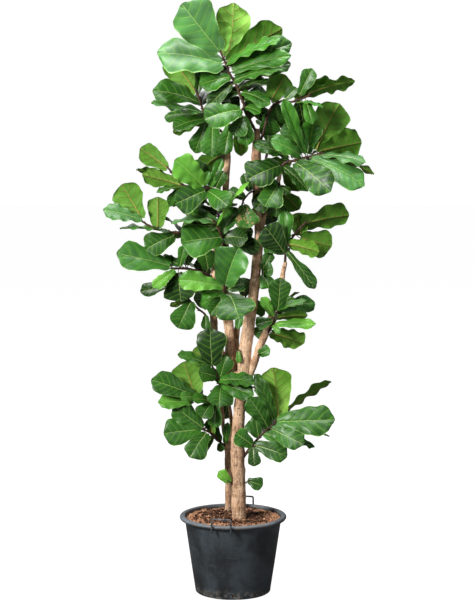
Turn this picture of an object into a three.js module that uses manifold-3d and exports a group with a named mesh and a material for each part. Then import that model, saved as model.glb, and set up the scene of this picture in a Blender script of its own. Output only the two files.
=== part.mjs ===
// A potted fiddle leaf fig: a plastic nursery pot with two clip-on bail handles, a rough
// bark-and-coir soil, two woody trunks with their limbs, and leafy shoots.
// Millimetres, +Z up, front towards -Y. The origin is the middle of the pot's foot on the floor.
import * as THREE from "three";
import { mergeVertices } from "three/addons/utils/BufferGeometryUtils.js";
import Module from "manifold-3d";

const wasm = await Module();
wasm.setup();

// ---- driving dimensions ----
const GAP = 0.3; // clearance between touching pieces

const POT_RIM_RADIUS = 228;
const POT_HEIGHT = 330;
const POT_NECK_RADIUS = 206; // just below the rolled rim
const POT_FOOT_RADIUS = 161;
const POT_WALL = 3;
const RIM_LIP_HEIGHT = 16;
const RIM_ROUNDING = 4;
const FOOT_ROUNDING = 7;
const FOOT_RING_WIDTH = 22;
const FOOT_GROOVE_DEPTH = 8;
const FOOT_GROOVE_INNER = 92;
const DRAIN_HOLES = 10;
const DRAIN_RADIUS = 6;
const DRAIN_HEIGHT = 19;
const DRAIN_SIDES = 8;
const POT_SEGMENTS = 36;

const HANDLE_WIDTH = 88;
const HANDLE_RISE = 34; // above the rim
const HANDLE_BAR = 7;
const HANDLE_DROP = 30; // below the rim
const HANDLE_HOOK = 12;
const HANDLE_TURN_DEG = -12; // the pair stands a little left of front

const SOIL_EDGE_LEVEL = 316;
const SOIL_RISES = [0, 3, 6, 8, 9, 10]; // above the edge, from the wall to the middle
const SOIL_SHRINKAGE = 2; // the soil stands clear of the pot's wall
const SOIL_SEGMENTS = 24;

const LEAF_THICKNESS = 2.6; // at the midrib; the margin is thin
const PETIOLE_WIDTH = 7;
const PETIOLE_REACH = 0.15; // share of a leaf's forward reach that its stalk makes
const LEAF_STATIONS = [0, 0.34, 0.72, 1];
const LEAF_WIDTHS = [0.22, 0.68, 1, 0.36]; // fiddle outline: narrow waist, broad shoulders
const LIMB_SIDES = 8;
const TWIG_SIDES = 4;

// The plant is laid out on the upright plane through the pot's axis, in centimetres, and each
// point is then slid along the line of sight from one eye point, so that parts stand at their
// real depth without moving sideways in the front view.
const CM = 10;
const EYE = new THREE.Vector3(19, -7545, 2065);

function place(x, z, depth) {
  const onPlane = new THREE.Vector3(x * CM, 0, z * CM);
  return onPlane.sub(EYE).multiplyScalar(1 - (depth * CM) / EYE.y).add(EYE);
}

// ---- colours ----
const BARK = 0xb08a64;
const TWIG_AND_LEAF = 0x3c7a34;
const POT_GREY = 0x3b4044;
const SOIL_BROWN = 0x5d4029;

const MOULDED = 0.6; // surface roughnesses
const CRUMBLY = 0.95;
const WEATHERED = 0.85;
const WAXY = 0.45;

// ---- solids ----
function solidOf(geometry) {
  const bare = geometry.clone();
  bare.deleteAttribute("normal");
  bare.deleteAttribute("uv");
  const merged = mergeVertices(bare, 1e-3);
  return new wasm.Manifold(
    new wasm.Mesh({
      numProp: 3,
      vertProperties: merged.attributes.position.array,
      triVerts: new Uint32Array(merged.index.array),
    }),
  );
}

// A closed solid through rings of points: each ring has the same number of corners.
function ringSolid(rings) {
  const corners = rings[0].length;
  const vertProperties = new Float32Array(rings.flat().flatMap((p) => p.toArray()));
  const triangles = [];
  rings.slice(1).forEach((_, ring) => {
    const start = ring * corners;
    for (let i = 0; i < corners; i++) {
      const j = (i + 1) % corners;
      triangles.push(start + i, start + j, start + corners + j);
      triangles.push(start + i, start + corners + j, start + corners + i);
    }
  });
  const last = (rings.length - 1) * corners;
  for (let i = 1; i < corners - 1; i++) {
    triangles.push(0, i + 1, i);
    triangles.push(last, last + i, last + i + 1);
  }
  const build = (order) =>
    new wasm.Manifold(
      new wasm.Mesh({ numProp: 3, vertProperties, triVerts: new Uint32Array(order) }),
    );
  const made = build(triangles);
  if (made.volume() > 0) return made;
  return build(triangles.reverse());
}

function largestBody(solid) {
  return solid.decompose().reduce((best, body) => (body.volume() > best.volume() ? body : best));
}

function meshOf(name, solid, colour, roughness) {
  const data = solid.getMesh();
  const points = [];
  for (let i = 0; i < data.numVert; i++) {
    const start = i * data.numProp;
    points.push(...data.vertProperties.subarray(start, start + 3));
  }
  const geometry = new THREE.BufferGeometry();
  geometry.setAttribute("position", new THREE.Float32BufferAttribute(points, 3));
  geometry.setIndex([...data.triVerts]);
  geometry.computeVertexNormals();
  const material = new THREE.MeshStandardMaterial({ color: colour, roughness, metalness: 0 });
  const mesh = new THREE.Mesh(geometry, material);
  mesh.name = name;
  return mesh;
}

// A tapered round limb through points [x, z, depth, diameter], in centimetres.
function limbSolid(points, sides, extra = 0) {
  const curve = new THREE.CatmullRomCurve3(points.map(([x, z, depth]) => place(x, z, depth)));
  const steps = points.length - 1;
  const frames = curve.computeFrenetFrames(steps);
  const rings = frames.tangents.map((_, step) => {
    const radius = (points[step][3] * CM) / 2 + extra;
    const centre = curve.getPoint(step / steps);
    return Array.from({ length: sides }, (_, side) => {
      const angle = (side / sides) * 2 * Math.PI;
      return centre
        .clone()
        .addScaledVector(frames.normals[step], Math.cos(angle) * radius)
        .addScaledVector(frames.binormals[step], Math.sin(angle) * radius);
    });
  });
  return ringSolid(rings);
}

function joined(solids) {
  return solids.reduce((whole, solid) => whole.add(solid));
}

// ---- pot ----
function potOutline() {
  const lipInner = POT_NECK_RADIUS + POT_WALL;
  const lipFoot = POT_HEIGHT - RIM_LIP_HEIGHT;
  const insideFoot = POT_FOOT_RADIUS - POT_WALL;
  const ringInner = POT_FOOT_RADIUS - FOOT_RING_WIDTH;
  const shoulder = FOOT_ROUNDING * (1 - Math.SQRT1_2);
  return [
    [0, 0],
    [FOOT_GROOVE_INNER, 0],
    [FOOT_GROOVE_INNER + POT_WALL, FOOT_GROOVE_DEPTH],
    [ringInner - POT_WALL, FOOT_GROOVE_DEPTH],
    [ringInner, 0],
    [POT_FOOT_RADIUS - FOOT_ROUNDING, 0],
    [POT_FOOT_RADIUS - shoulder, shoulder],
    [POT_FOOT_RADIUS, FOOT_ROUNDING],
    [POT_NECK_RADIUS, lipFoot - POT_WALL],
    [lipInner, lipFoot],
    [POT_RIM_RADIUS, lipFoot],
    [POT_RIM_RADIUS, POT_HEIGHT - RIM_ROUNDING],
    [POT_RIM_RADIUS - RIM_ROUNDING, POT_HEIGHT],
    [POT_NECK_RADIUS, POT_HEIGHT],
    [POT_NECK_RADIUS - POT_WALL, lipFoot],
    [insideFoot, FOOT_GROOVE_DEPTH + POT_WALL],
    [0, FOOT_GROOVE_DEPTH + POT_WALL],
  ].map(([radius, height]) => new THREE.Vector2(radius, height));
}

function latheSolid(outline, segments) {
  return solidOf(new THREE.LatheGeometry(outline, segments).rotateX(Math.PI / 2));
}

function drainHole(index) {
  const angle = ((index + 0.5) / DRAIN_HOLES) * 2 * Math.PI;
  const hole = new THREE.CylinderGeometry(DRAIN_RADIUS, DRAIN_RADIUS, 4 * DRAIN_RADIUS, DRAIN_SIDES);
  hole.rotateZ(Math.PI / 2);
  hole.translate(POT_FOOT_RADIUS, 0, DRAIN_HEIGHT);
  hole.rotateZ(angle);
  return solidOf(hole);
}

function potSolid() {
  let pot = latheSolid(potOutline(), POT_SEGMENTS);
  for (let index = 0; index < DRAIN_HOLES; index++) pot = pot.subtract(drainHole(index));
  return pot;
}

// ---- bail handle: a flat loop that stands outside the rim and hooks in under the lip ----
// Its own frame has the rim's top at z = 0 and the rim's outside at y = 0.
function handleOutline() {
  const half = HANDLE_WIDTH / 2;
  const inside = half - HANDLE_BAR;
  const chamfer = HANDLE_BAR / 2;
  const corners = [
    [-half, -HANDLE_DROP],
    [-inside, -HANDLE_DROP],
    [-inside, HANDLE_RISE - HANDLE_BAR],
    [inside, HANDLE_RISE - HANDLE_BAR],
    [inside, -HANDLE_DROP],
    [half, -HANDLE_DROP],
    [half, HANDLE_RISE - chamfer],
    [half - chamfer, HANDLE_RISE],
    [chamfer - half, HANDLE_RISE],
    [-half, HANDLE_RISE - chamfer],
  ];
  return new THREE.Shape(corners.map(([x, z]) => new THREE.Vector2(x, z)));
}

function handleHook(side) {
  const middle = side * (HANDLE_WIDTH - HANDLE_BAR) / 2;
  const hook = new THREE.BoxGeometry(HANDLE_BAR, HANDLE_HOOK + HANDLE_BAR, HANDLE_BAR);
  const top = -RIM_LIP_HEIGHT - GAP;
  hook.translate(middle, (HANDLE_HOOK - HANDLE_BAR) / 2, top - HANDLE_BAR / 2);
  return solidOf(hook);
}

function handleSolid() {
  const loop = new THREE.ExtrudeGeometry(handleOutline(), { depth: HANDLE_BAR, bevelEnabled: false });
  loop.rotateX(Math.PI / 2);
  return joined([solidOf(loop), handleHook(-1), handleHook(1)]);
}

function handleGroup(name, turnDeg) {
  const turned = new THREE.Group();
  turned.rotation.z = THREE.MathUtils.degToRad(turnDeg);
  const handle = meshOf(name, handleSolid(), POT_GREY, MOULDED);
  handle.position.set(0, -POT_RIM_RADIUS - GAP, POT_HEIGHT);
  turned.add(handle);
  return turned;
}

// ---- trunks: limbs as points [x, z, depth, diameter] in centimetres ----
const MAIN_TRUNK = [
  [2.6, 26, -4, 7.6],
  [2.5, 34, -4, 7],
  [2.3, 46, -4, 6.3],
  [2, 58, -4, 6.2],
  [2, 65, -4, 5.7],
  [2.4, 74, -3.6, 5],
  [3.2, 83, -3.2, 4.9],
  [4.6, 93, -3, 5.6],
  [4.9, 102, -2.6, 5.6],
  [6, 110, -2.2, 5.1],
  [7.1, 117, -1.8, 4.7],
  [8.9, 129, -1.2, 4.3],
  [9.9, 139, -0.8, 4.2],
  [10.7, 149, -0.4, 3.7],
  [10.7, 156, 0, 3.4],
  [9.8, 168, 0, 3.4],
  [9.9, 180, 0, 3.8],
  [9.7, 184, 0, 4.3],
  [9.8, 190, 0, 4.1],
  [10.2, 197, 0, 3.2],
];
const LEFT_LIMB = [
  [3.4, 87, -3, 3],
  [1.2, 94, -1, 3.4],
  [-1.1, 101, 1, 4.1],
  [-1.2, 109, 2, 4.2],
  [-2.2, 119, 2.6, 4.3],
  [-3, 134, 3, 3.7],
  [-3.4, 147, 3, 3.5],
  [-3, 161, 3, 3.1],
  [-2.9, 173, 3, 2.8],
  [-2.5, 182, 3, 2.9],
  [-1.7, 196, 3, 2],
];
const RIGHT_LIMB = [
  [4.8, 89, -3, 3.2],
  [8.2, 96, -3.6, 3.2],
  [10.9, 104, -4.2, 3.2],
  [13.3, 110, -4.6, 2.9],
  [15.8, 117, -5, 2.5],
  [18.2, 126, -5.5, 2.4],
  [20.3, 133, -6, 2.4],
  [21.6, 139, -6, 2.3],
  [22.2, 141.5, -6, 1.8],
];
const FAR_LEFT_LIMB = [
  [3, 86, -3, 2.6],
  [-1, 95, 2, 3],
  [-5, 103, 6.4, 3.1],
  [-7.7, 110, 8.8, 3.3],
  [-8.1, 118, 9, 3.3],
  [-8, 130, 9.2, 3.1],
  [-7.7, 140, 9, 2.8],
  [-7.2, 149, 9, 2.2],
];
const INNER_LIMB = [
  [4, 92, -2.6, 1.6],
  [2, 98, 0, 1.9],
  [1.5, 105, 3, 2.1],
  [1.6, 112, 4.5, 2.1],
  [3, 118.5, 5, 1.8],
  [5.4, 124, 5, 1.2],
];
const UPPER_RIGHT_LIMB = [
  [10.4, 147, -0.4, 1.8],
  [12.4, 157, 1.5, 1.9],
  [14.5, 163.5, 2, 2],
  [17.4, 171, 1.5, 1.8],
  [19.4, 177, 0.5, 1.6],
  [20, 180, 0, 1.3],
];
const BACK_TRUNK = [
  [-2, 27, 11, 3.8],
  [-2, 36, 11, 3.3],
  [-1.9, 48, 10.5, 3],
  [-2.1, 58, 10, 2.9],
  [-2.8, 64.5, 9.5, 2.2],
  [-4, 70, 8, 1.6],
  [-4.5, 76, 6.5, 1.5],
  [-4.9, 83, 4, 1.4],
  [-5.3, 88.5, 1.5, 1.2],
];
const BACK_TRUNK_SIDE = [
  [-2.1, 60, 10, 2],
  [-0.9, 67, 10, 1.6],
  [-0.8, 74, 10.5, 1.5],
  [-1.7, 82, 11, 1.2],
];
const MAIN_LIMBS = [
  MAIN_TRUNK,
  LEFT_LIMB,
  RIGHT_LIMB,
  FAR_LEFT_LIMB,
  INNER_LIMB,
  UPPER_RIGHT_LIMB,
];
const BACK_LIMBS = [BACK_TRUNK, BACK_TRUNK_SIDE];

// ---- soil: a mounded plug with a socket round each trunk ----
function soilSolid(sockets) {
  const floor = FOOT_GROOVE_DEPTH + POT_WALL + GAP;
  const insideFoot = POT_FOOT_RADIUS - POT_WALL;
  const insideNeck = POT_NECK_RADIUS - POT_WALL;
  const flare = (insideNeck - insideFoot) / (POT_HEIGHT - RIM_LIP_HEIGHT - floor);
  const wallAt = (z) => insideFoot + flare * (z - floor) - SOIL_SHRINKAGE;
  const edge = wallAt(SOIL_EDGE_LEVEL);
  const surface = SOIL_RISES.map((rise, ring) => [
    edge * (1 - ring / (SOIL_RISES.length - 1)),
    SOIL_EDGE_LEVEL + rise,
  ]);
  const outline = [[0, floor], [wallAt(floor), floor], ...surface];
  const points = outline.map(([radius, z]) => new THREE.Vector2(radius, z));
  return sockets.reduce((soil, socket) => soil.subtract(socket), latheSolid(points, SOIL_SEGMENTS));
}

// ---- leaves ----
// A leaf is [base x, base z, tip x, tip z, reach, width, tilt, fold, bend, turn]: where its
// blade starts and ends, how far its tip comes forward, the blade's width (all centimetres);
// which way its upper side faces (0 the front, 90 up, 180 the back), how far its halves fold
// up (degrees), how far it arches (share of its length), and an optional turn about +Z.
function nearestOnTwig(twig, x, z) {
  let best = null;
  twig.slice(1).forEach((end, i) => {
    const start = twig[i];
    const dx = end[0] - start[0];
    const dz = end[1] - start[1];
    const share = ((x - start[0]) * dx + (z - start[1]) * dz) / (dx * dx + dz * dz);
    const at = Math.min(Math.max(share, 0), 1);
    const point = [0, 1, 2].map((k) => start[k] + (end[k] - start[k]) * at);
    const distance = Math.hypot(x - point[0], z - point[1]);
    if (!best || distance < best.distance) best = { point, distance };
  });
  return best.point;
}

function leafSolid(leaf, twig, extra = 0) {
  const [baseX, baseZ, tipX, tipZ, reach, width, tilt, fold, bend, turn = 0] = leaf;
  const root = nearestOnTwig(twig, baseX, baseZ);
  const start = place(...root);
  const base = place(baseX, baseZ, root[2] - reach * PETIOLE_REACH);
  const tip = place(tipX, tipZ, root[2] - reach);
  const axis = tip.clone().sub(base);
  const length = axis.length();
  axis.normalize();
  const [tiltBy, foldBy, turnBy] = [tilt, fold, turn].map(THREE.MathUtils.degToRad);
  const flat = Math.cos(tiltBy);
  const faces = new THREE.Vector3(
    flat * Math.sin(turnBy),
    -flat * Math.cos(turnBy),
    Math.sin(tiltBy),
  );
  const upper = faces.addScaledVector(axis, -faces.dot(axis)).normalize();
  const side = axis.clone().cross(upper);
  const thick = LEAF_THICKNESS / 2 + extra;
  const ring = (centre, half, rise) => [
    centre.clone().addScaledVector(side, -half).addScaledVector(upper, rise),
    centre.clone().addScaledVector(upper, thick),
    centre.clone().addScaledVector(side, half).addScaledVector(upper, rise),
    centre.clone().addScaledVector(upper, -thick),
  ];
  const rings = LEAF_STATIONS.map((along, i) => {
    const half = (width * CM * LEAF_WIDTHS[i]) / 2 + extra;
    const arch = bend * length * 4 * along * (1 - along);
    const centre = base.clone().addScaledVector(axis, length * along).addScaledVector(upper, arch);
    return ring(centre, half * Math.cos(foldBy), half * Math.sin(foldBy));
  });
  return ringSolid([ring(start, PETIOLE_WIDTH / 2 + extra, 0), ...rings]);
}

// ---- shoots: each has a twig as points [x, z, depth, diameter] and its leaves ----
const SHOOTS = [
  {
    name: "shoot_top",
    twig: [
      [10.2, 195, 0, 1.3],
      [7.4, 200, -1, 1.3],
      [5.2, 206, -2, 1.2],
      [3, 211, -2, 1.2],
      [1, 216, -2, 1.1],
      [-1.5, 220, -2, 1.1],
      [-3, 224, -2, 1],
      [-4.5, 227.5, -2, 0.9],
    ],
    leaves: [
      [-6, 229.5, -21.3, 248.6, 4, 19, 20, 8, 0.05],
      [-4.5, 229.2, -8, 241, 0, 12, 172, 10, 0.03],
      [-2, 227.5, 0.5, 249, -7, 14.5, 170, 10, 0.04],
      [-2, 225, 20.5, 238.5, -5, 15, 150, 10, 0.03],
      [-2, 224, 20, 234, 4, 10, 65, 12, 0.05],
      [0, 223, 24.4, 232.4, -2, 10.5, 25, 10, 0.03],
      [0.5, 221, 24.2, 227.3, 5, 8, 30, 12, 0.04],
      [1.5, 218.5, 24, 224, -4, 8.5, 25, 10, 0.04],
      [1, 217, 21, 221.5, 6, 12, 55, 12, 0.08],
      [-5, 224, -31.5, 228.3, 5, 20, 42, 10, 0.06],
      [-1.5, 218.5, -14, 215.2, 4, 9, 25, 12, 0.08],
      [-2.2, 221, -17, 221.3, -9, 9, 30, 10, 0.08],
      [2.4, 212.5, -9, 208, -5, 11, 45, 10, 0.08],
      [4.2, 209.5, 15, 211, -5, 10, 45, 10, 0.08],
      [4.8, 208, 9, 202.5, -5, 8, 20, 10, 0.06],
      [-1, 215, -10.6, 206, 4, 6.5, 20, 12, 0.08],
      [3, 214, 15.5, 215.5, 8, 7, 60, 20, 0.12],
      [4, 212, 15.5, 207, 7, 7, 35, 12, 0.1],
      [5.5, 206, 11.5, 203.5, 5, 4.5, 30, 12, 0.1],
      [-2.5, 222, 8, 231, -18, 10, 120, 10, 0.08],
      [-1.5, 219, -13, 226, -16, 10, 120, 10, 0.08],
      [2, 214, 12, 219, -18, 10, 110, 10, 0.08],
      [6.3, 205.8, 17, 199.5, -11, 9, 30, 10, 0.08],
      [2.6, 213.2, 14, 217, -12, 7, 30, 10, 0.08],
      [0.8, 216, -7, 212.5, -9, 7, 40, 10, 0.08],
    ],
  },
  {
    name: "shoot_upper_left",
    twig: [
      [-2, 193, 3, 1.1],
      [-5.5, 196.5, 1, 1.1],
      [-9, 198.5, 0, 1.1],
      [-11, 200, 0, 1],
      [-12.5, 205, -1, 1],
      [-15, 212, -1, 0.9],
    ],
    leaves: [
      [-15.5, 212.5, -27, 227.5, -3, 12.5, 165, 10, 0.05],
      [-14.8, 212, -12.5, 222.5, -2, 5, 20, 25, 0.05],
      [-14.5, 208, -33.5, 212.8, 3, 12, 42, 10, 0.06],
      [-13.2, 204, -34, 207.5, 12, 9, 62, 12, 0.02],
      [-12.3, 202.5, -28.5, 202, -5, 9, 50, 10, 0.08],
      [-12, 201, -25, 197, 5, 8, 40, 10, 0.1],
      [-11, 199.5, -25, 195.3, -5, 6.5, 125, 12, 0.1],
      [-8.5, 198, -9, 185.3, 4, 10.5, 10, 10, 0.08],
      [-11.3, 199.3, -15.8, 187, -3, 7, 15, 12, 0.08],
      [-12, 203, -19, 200, -15, 10, 110, 10, 0.08],
      [-13, 207, -10, 213, -14, 9, 120, 10, 0.08],
    ],
  },
  {
    name: "shoot_centre_top",
    twig: [
      [-1.8, 194.5, 3, 1.1],
      [0, 199, 0, 1.1],
      [2, 202, -3, 1],
      [3.8, 205, -5, 0.9],
    ],
    leaves: [
      [3, 204.8, -12, 201, 9, 12, 28, 10, 0.06],
      [-1, 199, -3.5, 186.3, 5, 7, 15, 10, 0.1],
      [4.5, 201.5, 0.5, 194, 5, 8, 20, 12, 0.1],
      [4.5, 202, 6, 190, 2, 7, 15, 10, 0.08],
      [1.5, 198.5, 3.5, 185.7, -2, 6, 160, 10, 0.08],
      [1.5, 201.5, -2, 210.5, -8, 8, 20, 10, 0.08],
    ],
  },
  {
    name: "shoot_upper_right",
    twig: [
      [10, 187, 0, 1.2],
      [12.8, 196, -1, 1.1],
      [15.4, 205, -2, 1],
      [20, 208.5, -3, 1],
      [25, 208.3, -3, 0.9],
      [31, 210.5, -3, 0.8],
    ],
    leaves: [
      [16, 209, 21.8, 219.5, -3, 11, 165, 10, 0.05],
      [26, 209.5, 41, 216, -5, 12, 128, 10, 0.05],
      [28, 211.5, 33, 222, 2, 7, 20, 15, 0.05],
      [32, 212, 50.8, 216.5, -2, 11.5, 122, 10, 0.05],
      [27, 207.8, 37.5, 205.8, 4, 6, 78, 15, 0.08],
      [30.5, 208.5, 33, 199, 4, 5.5, 25, 12, 0.1],
      [18, 208, 28, 213, -16, 10, 110, 10, 0.08],
      [14, 203.5, 16.5, 194.5, -5, 9, 15, 10, 0.06],
      [17.5, 207.3, 20, 197.5, -7, 8, 12, 10, 0.06],
      [22, 209.5, 26.5, 214, -6, 6.5, 20, 10, 0.08],
      [27.5, 208, 29.5, 196, -13, 11, 15, 10, 0.04],
    ],
  },
  {
    name: "shoot_right",
    twig: [
      [19.7, 177.5, 0.5, 1.2],
      [20.3, 181, -0.5, 1.2],
      [22, 183, -1, 1.2],
      [25, 183.7, -2, 1.1],
      [30, 185, -2, 1.1],
      [36, 186.5, -2, 1],
    ],
    leaves: [
      [37, 188, 53.8, 191.5, -4, 15, 150, 8, 0.05],
      [35, 188.5, 44.5, 207.5, -7, 15, 165, 8, 0.05],
      [37, 186, 55.5, 183, 3, 9, 65, 10, 0.05],
      [38, 185.3, 59, 178, -2, 8, 100, 10, 0.05],
      [33, 184.3, 55, 173, 7, 12.5, 38, 10, 0.06],
      [26.5, 182.6, 41, 170.8, 13, 12.5, 18, 12, 0.06],
      [28, 186, 15.5, 192, 6, 9, 35, 12, 0.08],
      [23, 184.8, 8.5, 191.5, 3, 7, 45, 10, 0.08],
      [28.5, 187, 22, 199.5, -3, 8, 10, 10, 0.06],
      [30, 187.5, 21, 209.5, 6, 6.5, 10, 30, 0.04],
      [19.5, 181.7, 6.3, 176, 9, 13.5, 25, 10, 0.06],
      [21.3, 181, 31.5, 171, 4, 6.5, 35, 12, 0.08],
      [21.8, 180.5, 28, 171, -5, 9, 155, 8, 0.05],
      [26, 185, 36, 192, -17, 10, 115, 10, 0.08],
      [31, 184, 42, 181, -16, 10, 100, 10, 0.08],
      [33, 186.5, 44, 188, -13, 9, 110, 10, 0.08],
      [31, 187, 33.5, 200, -6, 9, 15, 10, 0.08],
    ],
  },
  {
    name: "shoot_right_inner",
    twig: [
      [17, 170, 1.5, 1],
      [18.7, 171.8, -1, 0.9],
      [19.3, 173.5, -3, 0.8],
    ],
    leaves: [
      [18.6, 173.3, 13.3, 164.5, 8, 11, 20, 10, 0.08],
      [18, 171.3, 9, 163, 4, 8, 15, 10, 0.08],
      [19.4, 171, 27.8, 163.3, -3, 8, 145, 8, 0.05],
      [19.8, 173, 24, 170, 1, 4, 30, 15, 0.1],
      [19.3, 170.5, 23, 162.5, -11, 6, 30, 12, 0.06],
      [18.9, 173.7, 12.9, 174.9, 0, 6, 15, 10, 0.04],
      [19, 171.7, 17.8, 160.3, 0, 7.5, 8, 10, 0.04],
    ],
  },
  {
    name: "shoot_mid_left",
    twig: [
      [-2.9, 170, 3, 1.3],
      [-7, 171.5, -1, 1.2],
      [-11.5, 172.3, -3, 1.2],
      [-16, 172.8, -4, 1.1],
      [-21, 173.8, -4, 1],
      [-26.5, 180, -4, 0.8],
    ],
    leaves: [
      [-27.7, 180.8, -38.8, 189, -3, 9.5, 160, 8, 0.05],
      [-22, 173.6, -38, 178, -1, 9.5, 140, 10, 0.05],
      [-22.5, 176, -40.5, 179.8, -7, 7, 105, 10, 0.05],
      [-13, 173.3, -24.3, 184.3, 5, 12.5, 25, 12, 0.08],
      [-21.5, 172.8, -32, 170.4, 3, 5.5, 70, 10, 0.05],
      [-12, 171, -24.5, 165.8, 8, 11.5, 15, 10, 0.1],
      [-10, 170.8, -2, 164.8, 12, 9.5, 12, 10, 0.08],
      [-9, 173, -4.5, 184.7, 2, 4.5, 10, 25, 0.05],
      [-12, 173.5, -10, 179.5, 1, 3.5, 10, 25, 0.05],
      [-8, 173.5, -18, 183.5, -7, 8, 40, 10, 0.08],
      [-7, 172.7, -3.8, 179.5, 4, 5.5, 20, 12, 0.1],
      [-20.5, 172.5, -26.5, 164.7, -2, 5, 45, 35, 0.2],
      [-9, 172, -19.5, 163, -6, 10, 30, 10, 0.08],
      [-14, 172.3, -26, 166, -8, 8, 40, 10, 0.08],
    ],
  },
  {
    name: "shoot_scarred",
    twig: [
      [9.8, 171, 0, 0.9],
      [7.2, 170.5, -3, 0.8],
      [4.6, 167.5, -4, 0.7],
      [4, 166, -4, 0.7],
    ],
    leaves: [
      [4.2, 165, 7, 155.6, 3, 10, 8, 10, 0.06],
      [4.8, 168.3, -2, 171.2, -2, 5.5, 25, 10, 0.06],
      [7, 171.2, 4.6, 178.5, -1, 5, 15, 10, 0.06],
    ],
  },
  {
    name: "shoot_far_left",
    twig: [
      [-7.3, 146.5, 9, 1.3],
      [-11, 150.5, 6, 1.2],
      [-16, 152.5, 3, 1.1],
      [-22, 153.4, 1, 1],
      [-28, 154.2, 0, 1],
      [-34, 156, -1, 0.9],
      [-38, 158.3, -1, 0.8],
    ],
    leaves: [
      [-38.5, 159.8, -46.7, 173.8, -3, 13, 165, 8, 0.05],
      [-38.8, 159, -54.5, 163.2, 4, 9, 45, 12, 0.06],
      [-31.5, 156, -31.4, 168.7, -4, 9.5, 180, 10, 0.05],
      [-27.5, 154, -47.5, 155.2, 6, 8, 80, 12, 0.04],
      [-25, 152.2, -36.8, 146.4, 6, 10.5, 20, 10, 0.06],
      [-22, 154, -30, 160, -12, 9, 120, 10, 0.08],
      [-17, 153, -25, 151, -14, 9, 110, 10, 0.08],
    ],
  },
  {
    name: "shoot_mid_front",
    twig: [
      [-3.4, 147.5, 3, 1.2],
      [-3.9, 150.5, -2, 1.2],
      [-4.8, 152.5, -6, 1.1],
      [-6.5, 156, -7, 0.9],
      [-7.8, 158, -7, 0.8],
    ],
    leaves: [
      [-5.2, 151.6, -21.9, 149.5, 6, 15.5, 25, 10, 0.06],
      [-3.8, 151.7, 6.2, 150.8, 3, 9.5, 25, 8, 0.08],
      [-3.3, 150.3, 11, 146.6, 2, 7.5, 35, 10, 0.08],
      [-8.3, 157.3, -26, 157.3, 5, 7, 75, 15, 0.08],
      [-6.2, 157.3, 6.9, 174.8, 1, 7, 25, 15, 0.05, -80],
      [-4.6, 153.5, 1.8, 164, -6, 8, 20, 10, 0.08],
      [-7, 158, -19, 161.5, -6, 8, 35, 10, 0.08],
      [-7, 156.5, -22, 154.3, -4, 8, 30, 10, 0.06],
      [-3.8, 151.7, 8.4, 154.6, -2, 7, 25, 10, 0.06],
    ],
  },
  {
    name: "shoot_low_left",
    twig: [
      [-8, 134.5, 9, 1.2],
      [-13, 136.7, 5, 1.2],
      [-19, 138.4, 2, 1.1],
      [-25, 138.6, -1, 0.9],
    ],
    leaves: [
      [-27, 139.8, -49, 145, 4, 12.5, 26, 10, 0.05],
      [-24.8, 137.6, -34, 130.7, 6, 5.5, 30, 15, 0.04],
      [-26.5, 131.8, -39, 128.7, -4, 6, 15, 10, 0.02],
      [-23, 136.6, -22, 124.6, 2, 13, 8, 8, 0.08],
      [-22.5, 140, -29.5, 142.3, -3, 5.5, 35, 10, 0.08],
      [-19, 140, -18, 145, -1, 4, 20, 15, 0.1],
      [-22.3, 139.6, -20.3, 148.5, 1, 4.5, 15, 12, 0.08],
      [-10.6, 138.5, -12, 147, 3, 9, 10, 10, 0.06],
      [-20, 140, -28, 143, -14, 9, 110, 10, 0.08],
    ],
  },
  {
    name: "shoot_centre_front",
    twig: [
      [-2.5, 124, 3, 1.3],
      [-2.9, 126.7, -3, 1.2],
      [-3, 128.8, -7, 1.1],
      [-3.6, 131, -8, 0.9],
    ],
    leaves: [
      [-3.2, 131.8, 2.5, 147.5, 3, 17, 20, 28, 0.05],
      [-5, 130.8, -23, 133.9, 4, 8.8, 25, 12, 0.08],
      [-4.5, 128.5, -13.5, 127.7, 3, 7, 40, 10, 0.1],
      [-1.7, 127.6, 2.7, 117, 14, 17, 62, 8, 0.1],
      [-4.2, 126, -9.7, 118.8, 4, 6.5, 15, 12, 0.08],
      [-4, 127.5, -13.5, 123, -6, 7, 30, 10, 0.06],
      [-2.4, 129.6, 4.8, 132.6, -1, 7, 20, 10, 0.08],
    ],
  },
  {
    name: "shoot_inner",
    twig: [
      [5.2, 122, 5, 0.9],
      [5.5, 125, 4, 0.8],
      [5.2, 127, 3, 0.7],
    ],
    leaves: [
      [4.9, 127, 4, 134.7, 1, 7, 15, 10, 0.08],
      [6, 125.7, 13.3, 119, -4, 7, 35, 10, 0.08],
      [4.3, 124.2, 1.9, 112.8, 4, 3.5, 20, 12, 0.04],
      [4.5, 127.3, -3, 137, -14, 9, 120, 10, 0.08],
    ],
  },
  {
    name: "shoot_limb_left",
    twig: [
      [-11, 116.9, 5, 0.9],
      [-12, 119.3, 3, 0.9],
      [-15, 121.7, 2, 0.8],
      [-18.3, 125.2, 1, 0.7],
    ],
    leaves: [
      [-17.8, 124.4, -23.3, 113.3, 3, 11, 8, 8, 0.08],
      [-19, 125, -26.5, 122.4, -3, 4.5, 130, 8, 0.06],
      [-11.6, 118.5, -11.6, 112.5, 3, 4.2, 10, 12, 0.1],
    ],
  },
  {
    name: "shoot_inner_small",
    twig: [
      [2.7, 104.7, 2.8, 0.5],
      [1.8, 104.5, -2, 0.5],
      [2.2, 104, -5.6, 0.45],
    ],
    leaves: [[2.3, 103.3, 2.4, 98.4, 1, 2.6, 10, 15, 0.06]],
  },
  {
    name: "shoot_back_left_high",
    twig: [
      [-2.8, 175, 3, 1.2],
      [-3.5, 181, 9, 1.1],
      [-4.5, 187, 15, 1],
      [-4, 191, 18, 0.8],
    ],
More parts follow.
